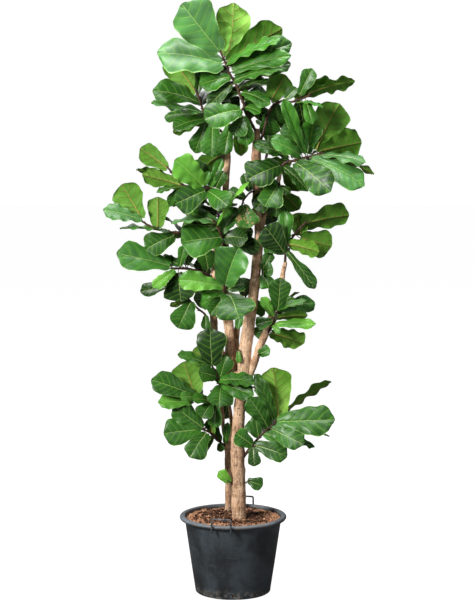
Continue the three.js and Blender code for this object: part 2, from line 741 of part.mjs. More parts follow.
    leaves: [
      [-5, 190, -14, 194, 5, 11, 30, 10, 0.08],
      [-3.5, 192, 4, 198, -4, 11, 110, 10, 0.08],
      [-3.5, 189.5, 4, 193, -8, 10, 100, 10, 0.08],
      [-5, 186, -13, 180, -9, 11, 130, 10, 0.08],
      [-4.5, 190, -7, 184, -18, 11, 120, 10, 0.08],
    ],
  },
  {
    name: "shoot_back_right_high",
    twig: [
      [10, 174.5, 0, 1.2],
      [13, 180.5, 7, 1.1],
      [14, 186, 13, 1],
      [15, 190, 16, 0.8],
    ],
    leaves: [
      [16, 190.5, 25, 193, -4, 11, 110, 10, 0.08],
      [14.5, 192, 13, 200, -8, 11, 120, 10, 0.08],
      [13.5, 189, 5, 193.5, -8, 8, 110, 10, 0.08],
      [15, 184, 23, 180.5, -8, 10, 130, 10, 0.08],
      [13.5, 182, 15, 176, -10, 9, 140, 10, 0.08],
      [14.5, 188, 18, 186, -18, 11, 110, 10, 0.08],
    ],
  },
  {
    name: "shoot_back_right_mid",
    twig: [
      [10.2, 162, 0, 1.1],
      [12.5, 165, 6, 1],
      [14.5, 168, 11, 0.8],
    ],
    leaves: [
      [15.3, 168.5, 23, 172.5, -3, 9, 60, 10, 0.08],
      [13.8, 166.3, 17, 157.5, -5, 9, 25, 10, 0.08],
      [12.2, 165.2, 8, 157.5, -5, 8, 30, 10, 0.08],
      [14, 168.8, 10.5, 175.5, -5, 9, 60, 10, 0.08],
      [14.8, 167, 24, 164.5, -8, 9, 40, 10, 0.08],
    ],
  },
  {
    name: "shoot_back_mid",
    twig: [
      [-3.2, 155, 3, 1.2],
      [-5, 159, 9, 1.1],
      [-7, 163, 15, 0.9],
    ],
    leaves: [
      [-8, 163.5, -16, 168, -3, 10, 110, 10, 0.08],
      [-6.5, 165, -5, 173, -6, 10, 120, 10, 0.08],
      [-5.5, 161.5, 1.5, 165, -5, 9, 110, 10, 0.08],
      [-7.5, 161, -14, 158.5, -8, 9, 130, 10, 0.08],
      [-5.5, 159.5, -3, 154.5, -10, 9, 130, 10, 0.08],
      [-7, 163.5, -9, 161, -18, 10, 110, 10, 0.08],
      [-7.6, 162.3, -20, 161.8, -1, 8, 30, 10, 0.08],
    ],
  },
  {
    name: "shoot_back_low",
    twig: [
      [-8, 128.5, 9, 1.2],
      [-9.5, 131, 14, 1.1],
      [-11.5, 133, 20, 0.9],
    ],
    leaves: [
      [-12.5, 133.5, -20, 135, 1, 9, 80, 10, 0.08],
      [-11, 132, -16, 128, -8, 9, 130, 10, 0.08],
      [-10.5, 134, -5.5, 141.5, -6, 10, 120, 10, 0.08],
      [-10, 130.5, -4.5, 128.5, -6, 9, 110, 10, 0.08],
      [-11.8, 134, -18.5, 141, -10, 9, 110, 10, 0.08],
      [-9.6, 130.8, -14.5, 122.5, -4, 8, 30, 10, 0.08],
      [-10.8, 133.3, -14.5, 143, 2, 7, 25, 10, 0.08],
    ],
  },
  {
    name: "shoot_limb_right",
    twig: [
      [9.2, 129.8, -1.2, 1],
      [11.5, 131, -3, 0.9],
      [12.2, 134, -4, 0.8],
      [12.3, 137, -4, 0.7],
    ],
    leaves: [
      [12.8, 137.3, 17, 138.2, 2, 6.5, 25, 12, 0.08],
      [12.5, 135.8, 15.3, 130.3, 3, 6.8, 15, 10, 0.08],
      [12.4, 138, 16.5, 145, -1, 5, 20, 12, 0.08],
    ],
  },
  {
    name: "shoot_right_low",
    twig: [
      [21.8, 138, -6, 1.2],
      [22, 143, -6, 1.1],
      [22.6, 147.5, -6, 1.1],
      [24.2, 150.5, -4.5, 1],
      [27, 154.3, -3, 0.9],
      [30, 157.4, -3, 0.8],
    ],
    leaves: [
      [29, 157, 48.8, 161, -3, 14, 140, 10, 0.05],
      [28.5, 151.3, 41.5, 147.8, -2, 13.5, 162, 8, 0.05],
      [28.6, 153, 26.8, 162, -3, 10, 175, 8, 0.05],
      [23.6, 148.8, 36.2, 145.6, 4, 9, 150, 12, 0.05],
      [22.5, 149.3, 21.7, 163, -1, 7, 5, 22, 0.06],
      [21.3, 145.5, 13.3, 156.3, 5, 12, 15, 10, 0.04],
      [22.9, 145.3, 34.6, 130, 4, 6, 40, 12, 0.03],
      [22, 145.5, 16, 149, -14, 9, 110, 10, 0.08],
      [21.6, 145, 13, 147.5, -4, 6.5, 30, 10, 0.08],
      [25, 152, 34, 152, -15, 9, 110, 10, 0.08],
    ],
  },
  {
    name: "shoot_limb_mid",
    twig: [
      [14.2, 110.5, -4.8, 1.1],
      [16.5, 114, -7, 1],
      [17.6, 117.5, -8, 0.9],
      [18.7, 120.5, -8, 0.8],
    ],
    leaves: [
      [16.2, 111.3, 30, 106.6, -3, 13, 138, 10, 0.03],
      [18, 114.6, 35, 115, 3, 5.5, 45, 12, 0.06],
      [18.6, 117.8, 31.5, 118.4, -2, 8, 130, 10, 0.05],
      [18.8, 121, 20, 134.7, 3, 9.5, 5, 12, 0.06],
      [17, 118.5, 11.8, 126.3, 3, 4.5, 15, 12, 0.08],
      [19.4, 121, 31, 125, 3, 4.5, 65, 15, 0.06],
      [20, 121.6, 34.5, 124, -6, 8, 20, 10, 0.04],
      [19.2, 121.3, 26, 126, -2, 5, 35, 12, 0.08],
      [19, 122, 28, 128.3, -8, 5, 120, 10, 0.08],
      [16.4, 116.3, 9.5, 114.7, 1, 6, 30, 12, 0.08],
      [16.6, 114.5, 19.8, 111, 4, 2.6, 20, 12, 0.1],
    ],
  },
  {
    name: "shoot_limb_behind",
    twig: [
      [13.8, 110.3, -4.6, 0.9],
      [14.6, 112, -1, 0.9],
      [17, 115, 4, 0.8],
      [19, 118, 8, 0.7],
    ],
    leaves: [
      [14, 112.7, 9, 110.3, 1, 6, 30, 10, 0.08],
      [17.5, 114.5, 24, 114.5, -4, 8, 110, 10, 0.08],
      [19.6, 119, 23, 127, -3, 9, 120, 10, 0.08],
      [19.7, 118, 25, 120, -10, 9, 100, 10, 0.08],
    ],
  },
  {
    name: "shoot_limb_foot",
    twig: [
      [10.4, 101.5, -4.2, 0.6],
      [10.9, 102, -6.3, 0.6],
    ],
    leaves: [[11, 102.3, 15.7, 104.3, 2, 5, 12, 12, 0.06]],
  },
  {
    name: "shoot_stem_upper",
    twig: [
      [-5.3, 87.5, 1.5, 1.1],
      [-5.9, 91, -2, 1],
      [-7.2, 94.2, -4, 0.9],
      [-8.8, 97, -4, 0.8],
    ],
    leaves: [
      [-9, 97.6, -9.5, 113.3, 2, 13, 6, 12, 0.06],
      [-9.4, 98.3, -17, 104, -4, 9.5, 165, 8, 0.06],
      [-9.6, 97.4, -23.5, 101.8, 5, 7, 60, 12, 0.05],
      [-7.4, 92.8, -14.5, 94.6, 6, 7.8, 18, 10, 0.08],
      [-5.3, 92.8, -2.5, 101.7, 1, 8, 8, 10, 0.08],
      [-5.4, 91, 9, 89.3, 7, 8, 45, 10, 0.15],
      [-4.9, 88.6, -6, 79.7, 7, 11.5, 20, 10, 0.1],
      [-4.6, 89.6, 8.8, 84.5, 9, 7.5, 20, 10, 0.06],
      [-7, 95.5, -11, 92, -14, 8, 110, 10, 0.08],
    ],
  },
  {
    name: "shoot_stem_left",
    twig: [
      [-4.8, 80, 5, 1.1],
      [-8, 81.5, 2, 1],
      [-12, 82.3, 0, 0.9],
      [-16.3, 83.5, -1, 0.8],
    ],
    leaves: [
      [-16.2, 84.9, -20.8, 99, -3, 14, 168, 8, 0.05],
      [-16.8, 84.6, -34.7, 91.2, 4, 10.3, 25, 10, 0.05],
      [-17.2, 82, -31.8, 81.6, 2, 6.8, 30, 12, 0.05],
      [-16, 83.8, -22.6, 84.4, 5, 4.3, 20, 12, 0.1],
      [-10.3, 82.2, -17.5, 82.7, 6, 5, 28, 12, 0.1],
      [-9.5, 81.3, -13.2, 74.7, 5, 8, 12, 12, 0.08],
      [-7, 80.6, -7.9, 70.6, 3, 6, 10, 10, 0.06],
      [-14, 83.5, -20, 88, -15, 9, 110, 10, 0.08],
      [-7, 81.8, -4, 88, -13, 9, 110, 10, 0.08],
    ],
  },
  {
    name: "shoot_stem_low",
    twig: [
      [-2.6, 62.3, 10, 1],
      [-5.5, 64.5, 6, 0.9],
      [-8, 67.3, 2, 0.9],
      [-10.5, 68.9, 0, 0.8],
      [-13.2, 70, -1, 0.8],
    ],
    leaves: [
      [-13.2, 70.7, -25.3, 80, 1, 10, 20, 8, 0.05],
      [-13.9, 69.6, -29.5, 68, 4, 11.8, 22, 10, 0.05],
      [-11.5, 68.2, -18.5, 57.8, 6, 10, 15, 10, 0.08],
      [-8.9, 66.5, -15.6, 58.2, -1, 5.5, 20, 10, 0.08],
      [-5.6, 64, -5.1, 60.2, 2, 3.4, 20, 15, 0.25],
      [-8.5, 68, -10.7, 74.2, -3, 5, 165, 10, 0.06],
      [-12, 70, -18, 68.5, -15, 9, 110, 10, 0.08],
      [-3.4, 64, -2.2, 73, 5, 3.4, 12, 12, 0.04],
      [-5.6, 64.7, -9.8, 71.8, -2, 5, 30, 10, 0.08],
    ],
  },
  {
    name: "shoot_stem_top",
    twig: [
      [-1.6, 80.5, 11, 1],
      [-1.5, 84, 14, 0.9],
      [-1.5, 87, 18, 0.8],
    ],
    leaves: [
      [-0.8, 87.6, 5, 91.5, 1, 8, 30, 10, 0.08],
      [-2.4, 88.3, -6, 95.3, 1, 8, 30, 10, 0.08],
      [-2, 85.5, -8.5, 85, -6, 9, 120, 10, 0.08],
      [-1, 84.5, 3.5, 86, -9, 9, 120, 10, 0.08],
      [-1.5, 87.5, -3, 88, -16, 10, 110, 10, 0.08],
      [-1.7, 82.5, -3.6, 74.5, -3, 6, 20, 10, 0.08],
    ],
  },
  {
    name: "shoot_foot_right",
    twig: [
      [3.6, 56.8, -4, 1.2],
      [6.5, 60.8, -6.5, 1.2],
      [9, 64, -8, 1.1],
      [12, 67.5, -9, 1.1],
      [15, 70.3, -9, 1],
      [18, 73, -9, 1],
      [15.8, 79, -7, 0.8],
      [12.5, 86.5, -6, 0.8],
      [8.7, 88, -7, 0.7],
    ],
    leaves: [
      [19.3, 74.3, 16.8, 96.4, 2, 13.5, 174, 8, 0.05],
      [17.6, 75, 10, 93, 3, 6, 15, 25, 0.1],
      [14.5, 71, 6.8, 83.6, 4, 8.5, 20, 8, 0.06],
      [15.9, 72, 13, 83, -3, 4.2, 12, 10, 0.04],
      [21.5, 76.5, 41.7, 90.2, -11, 9.5, 128, 20, 0.04],
      [19, 73.2, 43.3, 74, 5, 13.5, 28, 10, 0.05],
      [16.5, 70, 30, 63.2, 8, 10, 22, 10, 0.06],
      [17, 71, 41, 66.8, -4, 7.5, 108, 10, 0.04],
      [15, 69.6, 34.7, 62.2, -5, 5.5, 60, 10, 0.02],
      [13, 68, 21.5, 65.5, 2, 6, 25, 10, 0.06],
      [10.8, 66.5, 9.3, 76.2, -1, 4.5, 20, 10, 0.08],
      [9.3, 88.8, 11, 93.7, -4, 4, 20, 12, 0.08],
      [9.4, 87.2, 14, 83.3, 3, 4, 30, 12, 0.1],
      [12.5, 87.4, 15, 92.5, 1, 3.8, 15, 12, 0.08],
      [13, 69, 20, 75, -15, 9, 110, 10, 0.08],
      [11, 66.7, 7, 73.8, -3, 6, 20, 10, 0.08],
      [16.5, 72.5, 26, 80, -14, 9, 110, 10, 0.08],
    ],
  },
  {
    name: "shoot_foot_right_low",
    twig: [
      [3.4, 61.6, -4, 0.9],
      [5.4, 63.3, -8.5, 0.9],
      [8.3, 62.9, -12, 0.8],
    ],
    leaves: [
      [8, 63.3, 1, 68.3, 2, 8, 25, 10, 0.08],
      [9.5, 63, 23, 58, 4, 9.2, 22, 10, 0.06],
      [8.5, 62, 9, 53.9, 3, 5.6, 8, 10, 0.06],
    ],
  },
  {
    name: "sprout_right",
    twig: [
      [4.6, 46.5, -4, 0.5],
      [6, 47.3, -5.5, 0.5],
    ],
    leaves: [[6.3, 47.8, 12.7, 45.7, 1, 6, 16, 12, 0.08]],
  },
  {
    name: "sprout_left",
    twig: [
      [0.4, 45.8, -5, 0.5],
      [-1.2, 47.1, -6.6, 0.5],
    ],
    leaves: [[-1.4, 47.4, -6.2, 51.8, 1, 4.8, 15, 12, 0.08]],
  },
];

// ---- assembly ----
function shootSolid({ twig, leaves }, extra = 0) {
  const stems = limbSolid(twig, TWIG_SIDES, extra);
  return joined([stems, ...leaves.map((leaf) => leafSolid(leaf, twig, extra))]);
}

const limbsOf = (rows, extra = 0) => joined(rows.map((row) => limbSolid(row, LIMB_SIDES, extra)));
const mainSocket = limbsOf(MAIN_LIMBS, GAP);
const backSocket = limbsOf(BACK_LIMBS, GAP);

const pottedBase = new THREE.Group();
pottedBase.add(meshOf("pot", potSolid(), POT_GREY, MOULDED));
pottedBase.add(handleGroup("handle_front", HANDLE_TURN_DEG));
pottedBase.add(handleGroup("handle_back", HANDLE_TURN_DEG + 180));
pottedBase.add(meshOf("soil", soilSolid([mainSocket, backSocket]), SOIL_BROWN, CRUMBLY));

const trunks = new THREE.Group();
trunks.add(meshOf("trunk_main", limbsOf(MAIN_LIMBS), BARK, WEATHERED));
trunks.add(meshOf("trunk_back", limbsOf(BACK_LIMBS).subtract(mainSocket), BARK, WEATHERED));

// Each shoot is cut clear of the trunks and of the shoots before it.
const crown = new THREE.Group();
let taken = mainSocket.add(backSocket);
for (const shoot of SHOOTS) {
  const solid = largestBody(shootSolid(shoot).subtract(taken));
  crown.add(meshOf(shoot.name, solid, TWIG_AND_LEAF, WAXY));
  taken = taken.add(shootSolid(shoot, GAP));
}

const plant = new THREE.Group();
plant.add(pottedBase, trunks, crown);

export default plant;
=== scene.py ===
# A fiddle leaf fig about two and a half metres tall, growing in a grey nursery pot.
# Metres, +Z up, front towards -Y, with the middle of the pot's foot at the origin.
import math

import bpy
import numpy as np
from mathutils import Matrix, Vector, noise


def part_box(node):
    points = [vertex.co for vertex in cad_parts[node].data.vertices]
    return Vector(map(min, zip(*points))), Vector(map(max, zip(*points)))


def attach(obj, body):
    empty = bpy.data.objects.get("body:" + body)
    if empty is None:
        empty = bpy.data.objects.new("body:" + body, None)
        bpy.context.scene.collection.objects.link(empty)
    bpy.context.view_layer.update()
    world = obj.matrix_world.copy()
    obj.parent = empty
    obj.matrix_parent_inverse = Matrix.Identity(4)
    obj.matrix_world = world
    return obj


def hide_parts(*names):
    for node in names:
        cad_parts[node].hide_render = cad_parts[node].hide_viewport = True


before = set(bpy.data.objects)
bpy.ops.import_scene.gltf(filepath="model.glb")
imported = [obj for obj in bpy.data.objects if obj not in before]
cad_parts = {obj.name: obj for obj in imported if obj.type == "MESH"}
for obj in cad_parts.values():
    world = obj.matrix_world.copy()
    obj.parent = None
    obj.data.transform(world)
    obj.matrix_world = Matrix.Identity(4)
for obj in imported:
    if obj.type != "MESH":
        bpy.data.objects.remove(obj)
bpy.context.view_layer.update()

# ---- Pot ----
# A wide nursery pot, injection-moulded in recycled charcoal polypropylene, with a rolled rim,
# a ring foot and drain holes punched through the bottom of its wall. It is scuffed, and dusty
# with potting soil along the rim and the foot.
_, pot_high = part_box("pot")
RIM_RADIUS = pot_high.x
POT_HEIGHT = pot_high.z
RIM_ROLL = 0.008  # radius of the rolled edge
NECK_RADIUS = RIM_RADIUS - 0.022
FOOT_RADIUS = RIM_RADIUS - 0.067
POT_WALL = 0.003
FOOT_GROOVE = 0.008
DRAIN_HOLES = 10
DRAIN_RADIUS = 0.006
DRAIN_HEIGHT = 0.019
PUNCH_REACH = 0.012  # how far a hole's punch stands out of the wall on each side
PUNCH_SIDES = 14
POT_SEGMENTS = 160
DENT_DEPTH = 0.0012
CREASE = math.radians(50)  # edges sharper than this stay crisp


def round_turns(count):
    """The angles of so many corners, evenly spaced round a circle."""
    return np.linspace(0, 2 * math.pi, count, endpoint=False)


def arc(centre_r, centre_z, radius, start_deg, end_deg, steps):
    turns = np.radians(np.linspace(start_deg, end_deg, steps))
    return [(centre_r + radius * math.cos(a), centre_z + radius * math.sin(a)) for a in turns]


def straight(start, end, steps):
    shares = np.linspace(0, 1, steps)
    return [tuple(np.array(start) * (1 - share) + np.array(end) * share) for share in shares]


def pot_profile():
    lip = POT_HEIGHT - 2 * RIM_ROLL
    wall_top = (NECK_RADIUS, lip - 0.004)
    wall_foot = (FOOT_RADIUS, FOOT_GROOVE)
    inside_top = (NECK_RADIUS - POT_WALL, lip)
    inside_foot = (FOOT_RADIUS - POT_WALL, FOOT_GROOVE + POT_WALL)
    return (
        [(0, 0.0), (0.092, 0.0), (0.095, FOOT_GROOVE), (FOOT_RADIUS - 0.025, FOOT_GROOVE)]
        + [(FOOT_RADIUS - 0.022, 0.001), (FOOT_RADIUS - 0.018, 0.0)]
        + arc(FOOT_RADIUS - 0.007, 0.007, 0.007, -90, -10, 6)
        + straight(wall_foot, wall_top, 40)
        + arc(NECK_RADIUS + 0.004, lip - 0.004, 0.004, 180, 90, 5)
        + arc(RIM_RADIUS - RIM_ROLL, lip + RIM_ROLL, RIM_ROLL, -90, 90, 14)
        + arc(NECK_RADIUS + 0.003, POT_HEIGHT - 0.003, 0.003, 90, 180, 5)
        + straight(inside_top, inside_foot, 12)
        + [(0, FOOT_GROOVE + POT_WALL)]
    )


def new_piece(name, points, faces, *materials, smooth=True):
    mesh = bpy.data.meshes.new(name)
    mesh.from_pydata([tuple(p) for p in points], [], [tuple(f) for f in faces])
    mesh.validate()
    mesh.polygons.foreach_set("use_smooth", [smooth] * len(mesh.polygons))
    for material in materials:
        mesh.materials.append(material)
    piece = bpy.data.objects.new(name, mesh)
    bpy.context.collection.objects.link(piece)
    return piece


def ring_faces(rows, sides):
    """The four-sided faces between rings that follow each other, each with as many corners."""
    faces = []
    for low in range(0, (rows - 1) * sides, sides):
        for i in range(sides):
            j = (i + 1) % sides
            faces.append((low + i, low + j, low + sides + j, low + sides + i))
    return faces


def lathed(profile, segments):
    """Points and faces of a (radius, height) profile turned about Z; its ends are on the axis."""
    turns = round_turns(segments)
    inner = profile[1:-1]
    points = [(r * math.cos(a), r * math.sin(a), z) for r, z in inner for a in turns]
    faces = ring_faces(len(inner), segments)
    first, last = len(points), len(points) + 1
    points += [(0, 0, profile[0][1]), (0, 0, profile[-1][1])]
    top = (len(inner) - 1) * segments
    for i in range(segments):
        j = (i + 1) % segments
        faces.append((first, j, i))
        faces.append((last, top + i, top + j))
    return points, faces


def with_modifier(piece, kind, **settings):
    """Puts a modifier on the piece and makes its result the piece's own mesh."""
    modifier = piece.modifiers.new(kind.title(), kind)
    for name, value in settings.items():
        setattr(modifier, name, value)
    ready = piece.evaluated_get(bpy.context.evaluated_depsgraph_get())
    mesh = bpy.data.meshes.new_from_object(ready)
    piece.modifiers.clear()
    piece.data = mesh
    return piece


def joined_shapes(shapes):
    """One list of points and one of faces from several (points, faces)."""
    all_points, all_faces = [], []
    for points, faces in shapes:
        start = len(all_points)
        all_points.extend(points)
        all_faces.extend(tuple(start + i for i in face) for face in faces)
    return all_points, all_faces


def drain_punch(index):
    angle = (index + 0.5) / DRAIN_HOLES * 2 * math.pi
    out = Vector((math.cos(angle), math.sin(angle), 0))
    across = Vector((-math.sin(angle), math.cos(angle), 0))
    rings = []
    for reach in (FOOT_RADIUS - PUNCH_REACH, FOOT_RADIUS + PUNCH_REACH):
        for turn in round_turns(PUNCH_SIDES):
            ragged = DRAIN_RADIUS * (1 + 0.16 * math.sin(3 * turn + index))
            at = out * reach + across * ragged * math.cos(turn)
            rings.append(at + Vector((0, 0, DRAIN_HEIGHT + ragged * math.sin(turn))))
    ends = [tuple(range(PUNCH_SIDES - 1, -1, -1)), tuple(range(PUNCH_SIDES, 2 * PUNCH_SIDES))]
    return rings, ring_faces(2, PUNCH_SIDES) + ends


def srgb(red, green, blue):
    """A colour given as on a paint chart, 0 to 255, in the linear values that shaders use."""
    shares = [c / 255 for c in (red, green, blue)]
    linear = [c / 12.92 if c <= 0.04045 else ((c + 0.055) / 1.055) ** 2.4 for c in shares]
    return (*linear, 1.0)


def add(tree, kind, inputs=None, **settings):
    """A shader node, with its settings, and its inputs either linked or given a value."""
    made = tree.nodes.new(kind)
    for name, value in settings.items():
        setattr(made, name, value)
    for name, value in (inputs or {}).items():
        if isinstance(value, bpy.types.NodeSocket):
            tree.links.new(value, made.inputs[name])
        else:
            made.inputs[name].default_value = value
    return made


def maths(tree, operation, first, second=0.0, clamp=False):
    inputs = {0: first, 1: second}
    return add(tree, "ShaderNodeMath", inputs, operation=operation, use_clamp=clamp).outputs[0]


def smooth_step(tree, value, low, high):
    inputs = {"Value": value, "From Min": low, "From Max": high}
    made = add(tree, "ShaderNodeMapRange", inputs, interpolation_type="SMOOTHSTEP")
    return made.outputs[0]


def mixed(tree, share, first, second):
    inputs = {0: share, 6: first, 7: second}
    return add(tree, "ShaderNodeMix", inputs, data_type="RGBA").outputs[2]


def times(tree, first, second):
    return maths(tree, "MULTIPLY", first, second)


def plus(tree, first, second):
    return maths(tree, "ADD", first, second)


def minus(tree, first, second):
    return maths(tree, "SUBTRACT", first, second)


def heights(tree, place):
    return add(tree, "ShaderNodeSeparateXYZ", {0: place}).outputs[2]


def layered(tree, colour, *layers):
    """The colour under layers of (mask, amount, tint): each tints by its amount where masked."""
    for mask, amount, tint in layers:
        share = mask if amount == 1 else times(tree, mask, amount)
        colour = mixed(tree, share, colour, srgb(*tint))
    return colour


def ramp(tree, value, low, high, dark, pale):
    """From the dark colour where the value is low to the pale one where it is high."""
    return mixed(tree, smooth_step(tree, value, low, high), srgb(*dark), srgb(*pale))


def object_place(tree):
    return add(tree, "ShaderNodeTexCoord").outputs["Object"]


def noisy(tree, place, scale, detail, roughness, distortion=0.0):
    inputs = {"Vector": place, "Scale": scale, "Detail": detail}
    inputs |= {"Roughness": roughness, "Distortion": distortion}
    return add(tree, "ShaderNodeTexNoise", inputs).outputs["Fac"]


def stretched(tree, place, x, y, z):
    inputs = {"Vector": place, "Scale": (x, y, z)}
    return add(tree, "ShaderNodeMapping", inputs).outputs[0]


def new_group(name, numbers, outputs):
    """A node group with number inputs, given as name: value, and number outputs."""
    tree = bpy.data.node_groups.new(name, "ShaderNodeTree")
    for socket, value in numbers.items():
        made = tree.interface.new_socket(socket, in_out="INPUT", socket_type="NodeSocketFloat")
        made.default_value = value
    for socket in outputs:
        tree.interface.new_socket(socket, in_out="OUTPUT", socket_type="NodeSocketFloat")
    inward = tree.nodes.new("NodeGroupInput").outputs
    outward = tree.nodes.new("NodeGroupOutput").inputs
    return tree, inward, outward


def put(tree, group, inputs):
    """A node group set down in a material, with its own values; gives back its outputs."""
    return add(tree, "ShaderNodeGroup", inputs, node_tree=group).outputs


def new_material(name, **constants):
    """A material, its node tree, and its Principled shader with constants set on its sockets."""
    material = bpy.data.materials.new(name)
    material.use_nodes = True
    tree = material.node_tree
    shader = tree.nodes["Principled BSDF"]
    for socket, value in constants.items():
        shader.inputs[socket.replace("_", " ")].default_value = value
    return material, tree, shader


def finished(tree, shader, colour, rough):
    """Gives the shader its colour and its roughness."""
    tree.links.new(colour, shader.inputs["Base Color"])
    tree.links.new(rough, shader.inputs["Roughness"])


def bumped(tree, shader, height, distance):
    inputs = {"Height": height, "Distance": distance, "Strength": 1.0}
    tree.links.new(add(tree, "ShaderNodeBump", inputs).outputs[0], shader.inputs["Normal"])


def dusting():
    """Settled dirt: patchy, thickest between two heights. Used on the pot and its handles."""
    numbers = {"Low": 0.0, "High": 1.0, "Patch size": 30.0, "Amount": 1.0}
    tree, inward, outward = new_group("Settled dust", numbers, ["Dust", "Grit"])
    place = object_place(tree)
    band = smooth_step(tree, heights(tree, place), inward["Low"], inward["High"])
    patches = smooth_step(tree, noisy(tree, place, inward["Patch size"], 8, 0.7), 0.42, 0.72)
    grains = smooth_step(tree, noisy(tree, place, 900.0, 2, 0.5), 0.56, 0.7)
    dust = times(tree, times(tree, band, patches), inward["Amount"])
    tree.links.new(dust, outward["Dust"])
    tree.links.new(times(tree, dust, grains), outward["Grit"])
    return tree


SETTLED_DUST = dusting()


def pot_plastic():
    material, tree, shader = new_material("charcoal pot plastic", Specular_IOR_Level=0.45)
    place = object_place(tree)
    clouds = noisy(tree, place, 7.0, 5, 0.6, 0.4)
    streaks = noisy(tree, stretched(tree, place, 26, 26, 3.5), 1.0, 6, 0.65)
    scratches = noisy(tree, stretched(tree, place, 9, 9, 260), 1.0, 3, 0.6)
    streak = smooth_step(tree, streaks, 0.52, 0.75)
    scratch = smooth_step(tree, scratches, 0.64, 0.72)
    rubbed = smooth_step(tree, heights(tree, place), POT_HEIGHT - 0.014, POT_HEIGHT - 0.002)
    rubbed = times(tree, rubbed, maths(tree, "ADD", clouds, 0.1, clamp=True))
    rim = {"Low": POT_HEIGHT - 0.03, "High": POT_HEIGHT, "Patch size": 34.0, "Amount": 0.75}
    on_rim = put(tree, SETTLED_DUST, rim)
    foot = {"Low": 0.05, "High": 0.0, "Patch size": 48.0, "Amount": 1.0}
    on_foot = put(tree, SETTLED_DUST, foot)
    colour = layered(
        tree,
        ramp(tree, clouds, 0.36, 0.7, (28, 31, 34), (60, 68, 75)),
        (streak, 0.4, (76, 85, 91)),
        (scratch, 0.22, (120, 126, 130)),
        (rubbed, 1, (124, 136, 146)),
        (on_rim["Dust"], 1, (112, 100, 88)),
        (on_rim["Grit"], 1, (150, 92, 60)),
        (on_foot["Dust"], 1, (146, 142, 132)),
        (on_foot["Grit"], 1, (122, 72, 46)),
    )
    grime = plus(tree, times(tree, streak, 0.12), 0.46)
    finished(tree, shader, colour, plus(tree, grime, times(tree, on_rim["Dust"], 0.3)))
    skin = noisy(tree, place, 420.0, 3, 0.6)
    bumped(tree, shader, plus(tree, skin, times(tree, scratch, -0.5)), 0.0002)
    return material


POT_PLASTIC = pot_plastic()
pot = new_piece("pot_shell", *lathed(pot_profile(), POT_SEGMENTS), POT_PLASTIC)
for vertex in pot.data.vertices:
    spot = vertex.co
    outward = Vector((spot.x, spot.y, 0))
    if outward.length > NECK_RADIUS * 0.7:
        dent = noise.noise(Vector((spot.x, spot.y, spot.z * 0.6)) * 9) * DENT_DEPTH
        vertex.co = spot + outward.normalized() * dent
punches = new_piece("drain_punches", *joined_shapes([drain_punch(i) for i in range(DRAIN_HOLES)]))
with_modifier(pot, "BOOLEAN", operation="DIFFERENCE", object=punches, solver="EXACT")
bpy.data.objects.remove(punches)
pot.data.polygons.foreach_set("use_smooth", [True] * len(pot.data.polygons))
with_modifier(pot, "EDGE_SPLIT", split_angle=CREASE)
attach(pot, "root")
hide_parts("pot")

# ---- Bail handles ----
# Two lifting loops of stiff black plastic bar, one each side. Their legs run down the outside
# of the rim, and a short hook on each leg clips in under the rolled edge.
HANDLE_WIDTH = 0.088
HANDLE_RISE = 0.034
HANDLE_DROP = 0.030
HANDLE_BAR = 0.007
HANDLE_BEND = 0.007
HANDLE_TURN = math.radians(-12)
HANDLE_GAP = 0.0006  # between a leg and the rim
HOOK_REACH = 0.0145
HOOK_GAP = 0.0004
HOOK_RADII = [0.0032, 0.0032, 0.003, 0.0022]


def sweep(centres, radii, sides, corner=1.0):
    """A closed bar along the centres. corner 1 makes it round; less makes it square-sided."""
    centres = np.asarray(centres, float)
    tangents = np.gradient(centres, axis=0)
    tangents /= np.linalg.norm(tangents, axis=1)[:, None]
    start = np.cross(tangents[0], (0.31, 0.92, 0.23))
    normals = [start / np.linalg.norm(start)]
    for tangent in tangents[1:]:
        level = normals[-1] - tangent * normals[-1].dot(tangent)
        normals.append(level / np.linalg.norm(level))
    normals = np.array(normals)
    across = np.cross(tangents, normals)
    turns = round_turns(sides)
    out = np.abs(np.cos(turns)) ** (2 / corner) + np.abs(np.sin(turns)) ** (2 / corner)
    shape = out ** (-corner / 2)
    ring = np.stack([np.cos(turns) * shape, np.sin(turns) * shape])
    radii = np.broadcast_to(radii, len(centres))
    points = (
        centres[:, None]
        + normals[:, None] * (ring[0] * radii[:, None])[..., None]
        + across[:, None] * (ring[1] * radii[:, None])[..., None]
    ).reshape(-1, 3)
    faces = ring_faces(len(centres), sides)
    last = (len(centres) - 1) * sides
    faces.append(tuple(range(sides - 1, -1, -1)))
    faces.append(tuple(last + i for i in range(sides)))
    return points.tolist(), faces


def handle_path():
    half = (HANDLE_WIDTH - HANDLE_BAR) / 2
    top = HANDLE_RISE - HANDLE_BAR / 2
    left = [(-half, z) for z in np.linspace(-HANDLE_DROP, top - HANDLE_BEND, 9)]
    corner = arc(HANDLE_BEND - half, top - HANDLE_BEND, HANDLE_BEND, 180, 90, 7)[1:]
    across = [(x, top) for x in np.linspace(HANDLE_BEND - half, 0, 8)[1:]]
    half_path = left + corner + across
    return half_path + [(-x, z) for x, z in reversed(half_path[:-1])]


def handle_piece(name, node, turn):
    out = -RIM_RADIUS - HANDLE_GAP - HANDLE_BAR / 2
    loop = [(x, out, POT_HEIGHT + z) for x, z in handle_path()]
    shapes = [sweep(loop, HANDLE_BAR / 2, 12, 0.75)]
    under = POT_HEIGHT - 2 * RIM_ROLL - HANDLE_BAR / 2 - HOOK_GAP
    for side in (-1, 1):
        x = side * (HANDLE_WIDTH - HANDLE_BAR) / 2
        hook = [(x, y, under) for y in np.linspace(out, out + HOOK_REACH, len(HOOK_RADII))]
        shapes.append(sweep(hook, HOOK_RADII, 10))
    piece = new_piece(name, *joined_shapes(shapes), HANDLE_PLASTIC)
    piece.rotation_euler.z = turn
    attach(piece, "root")
    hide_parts(node)


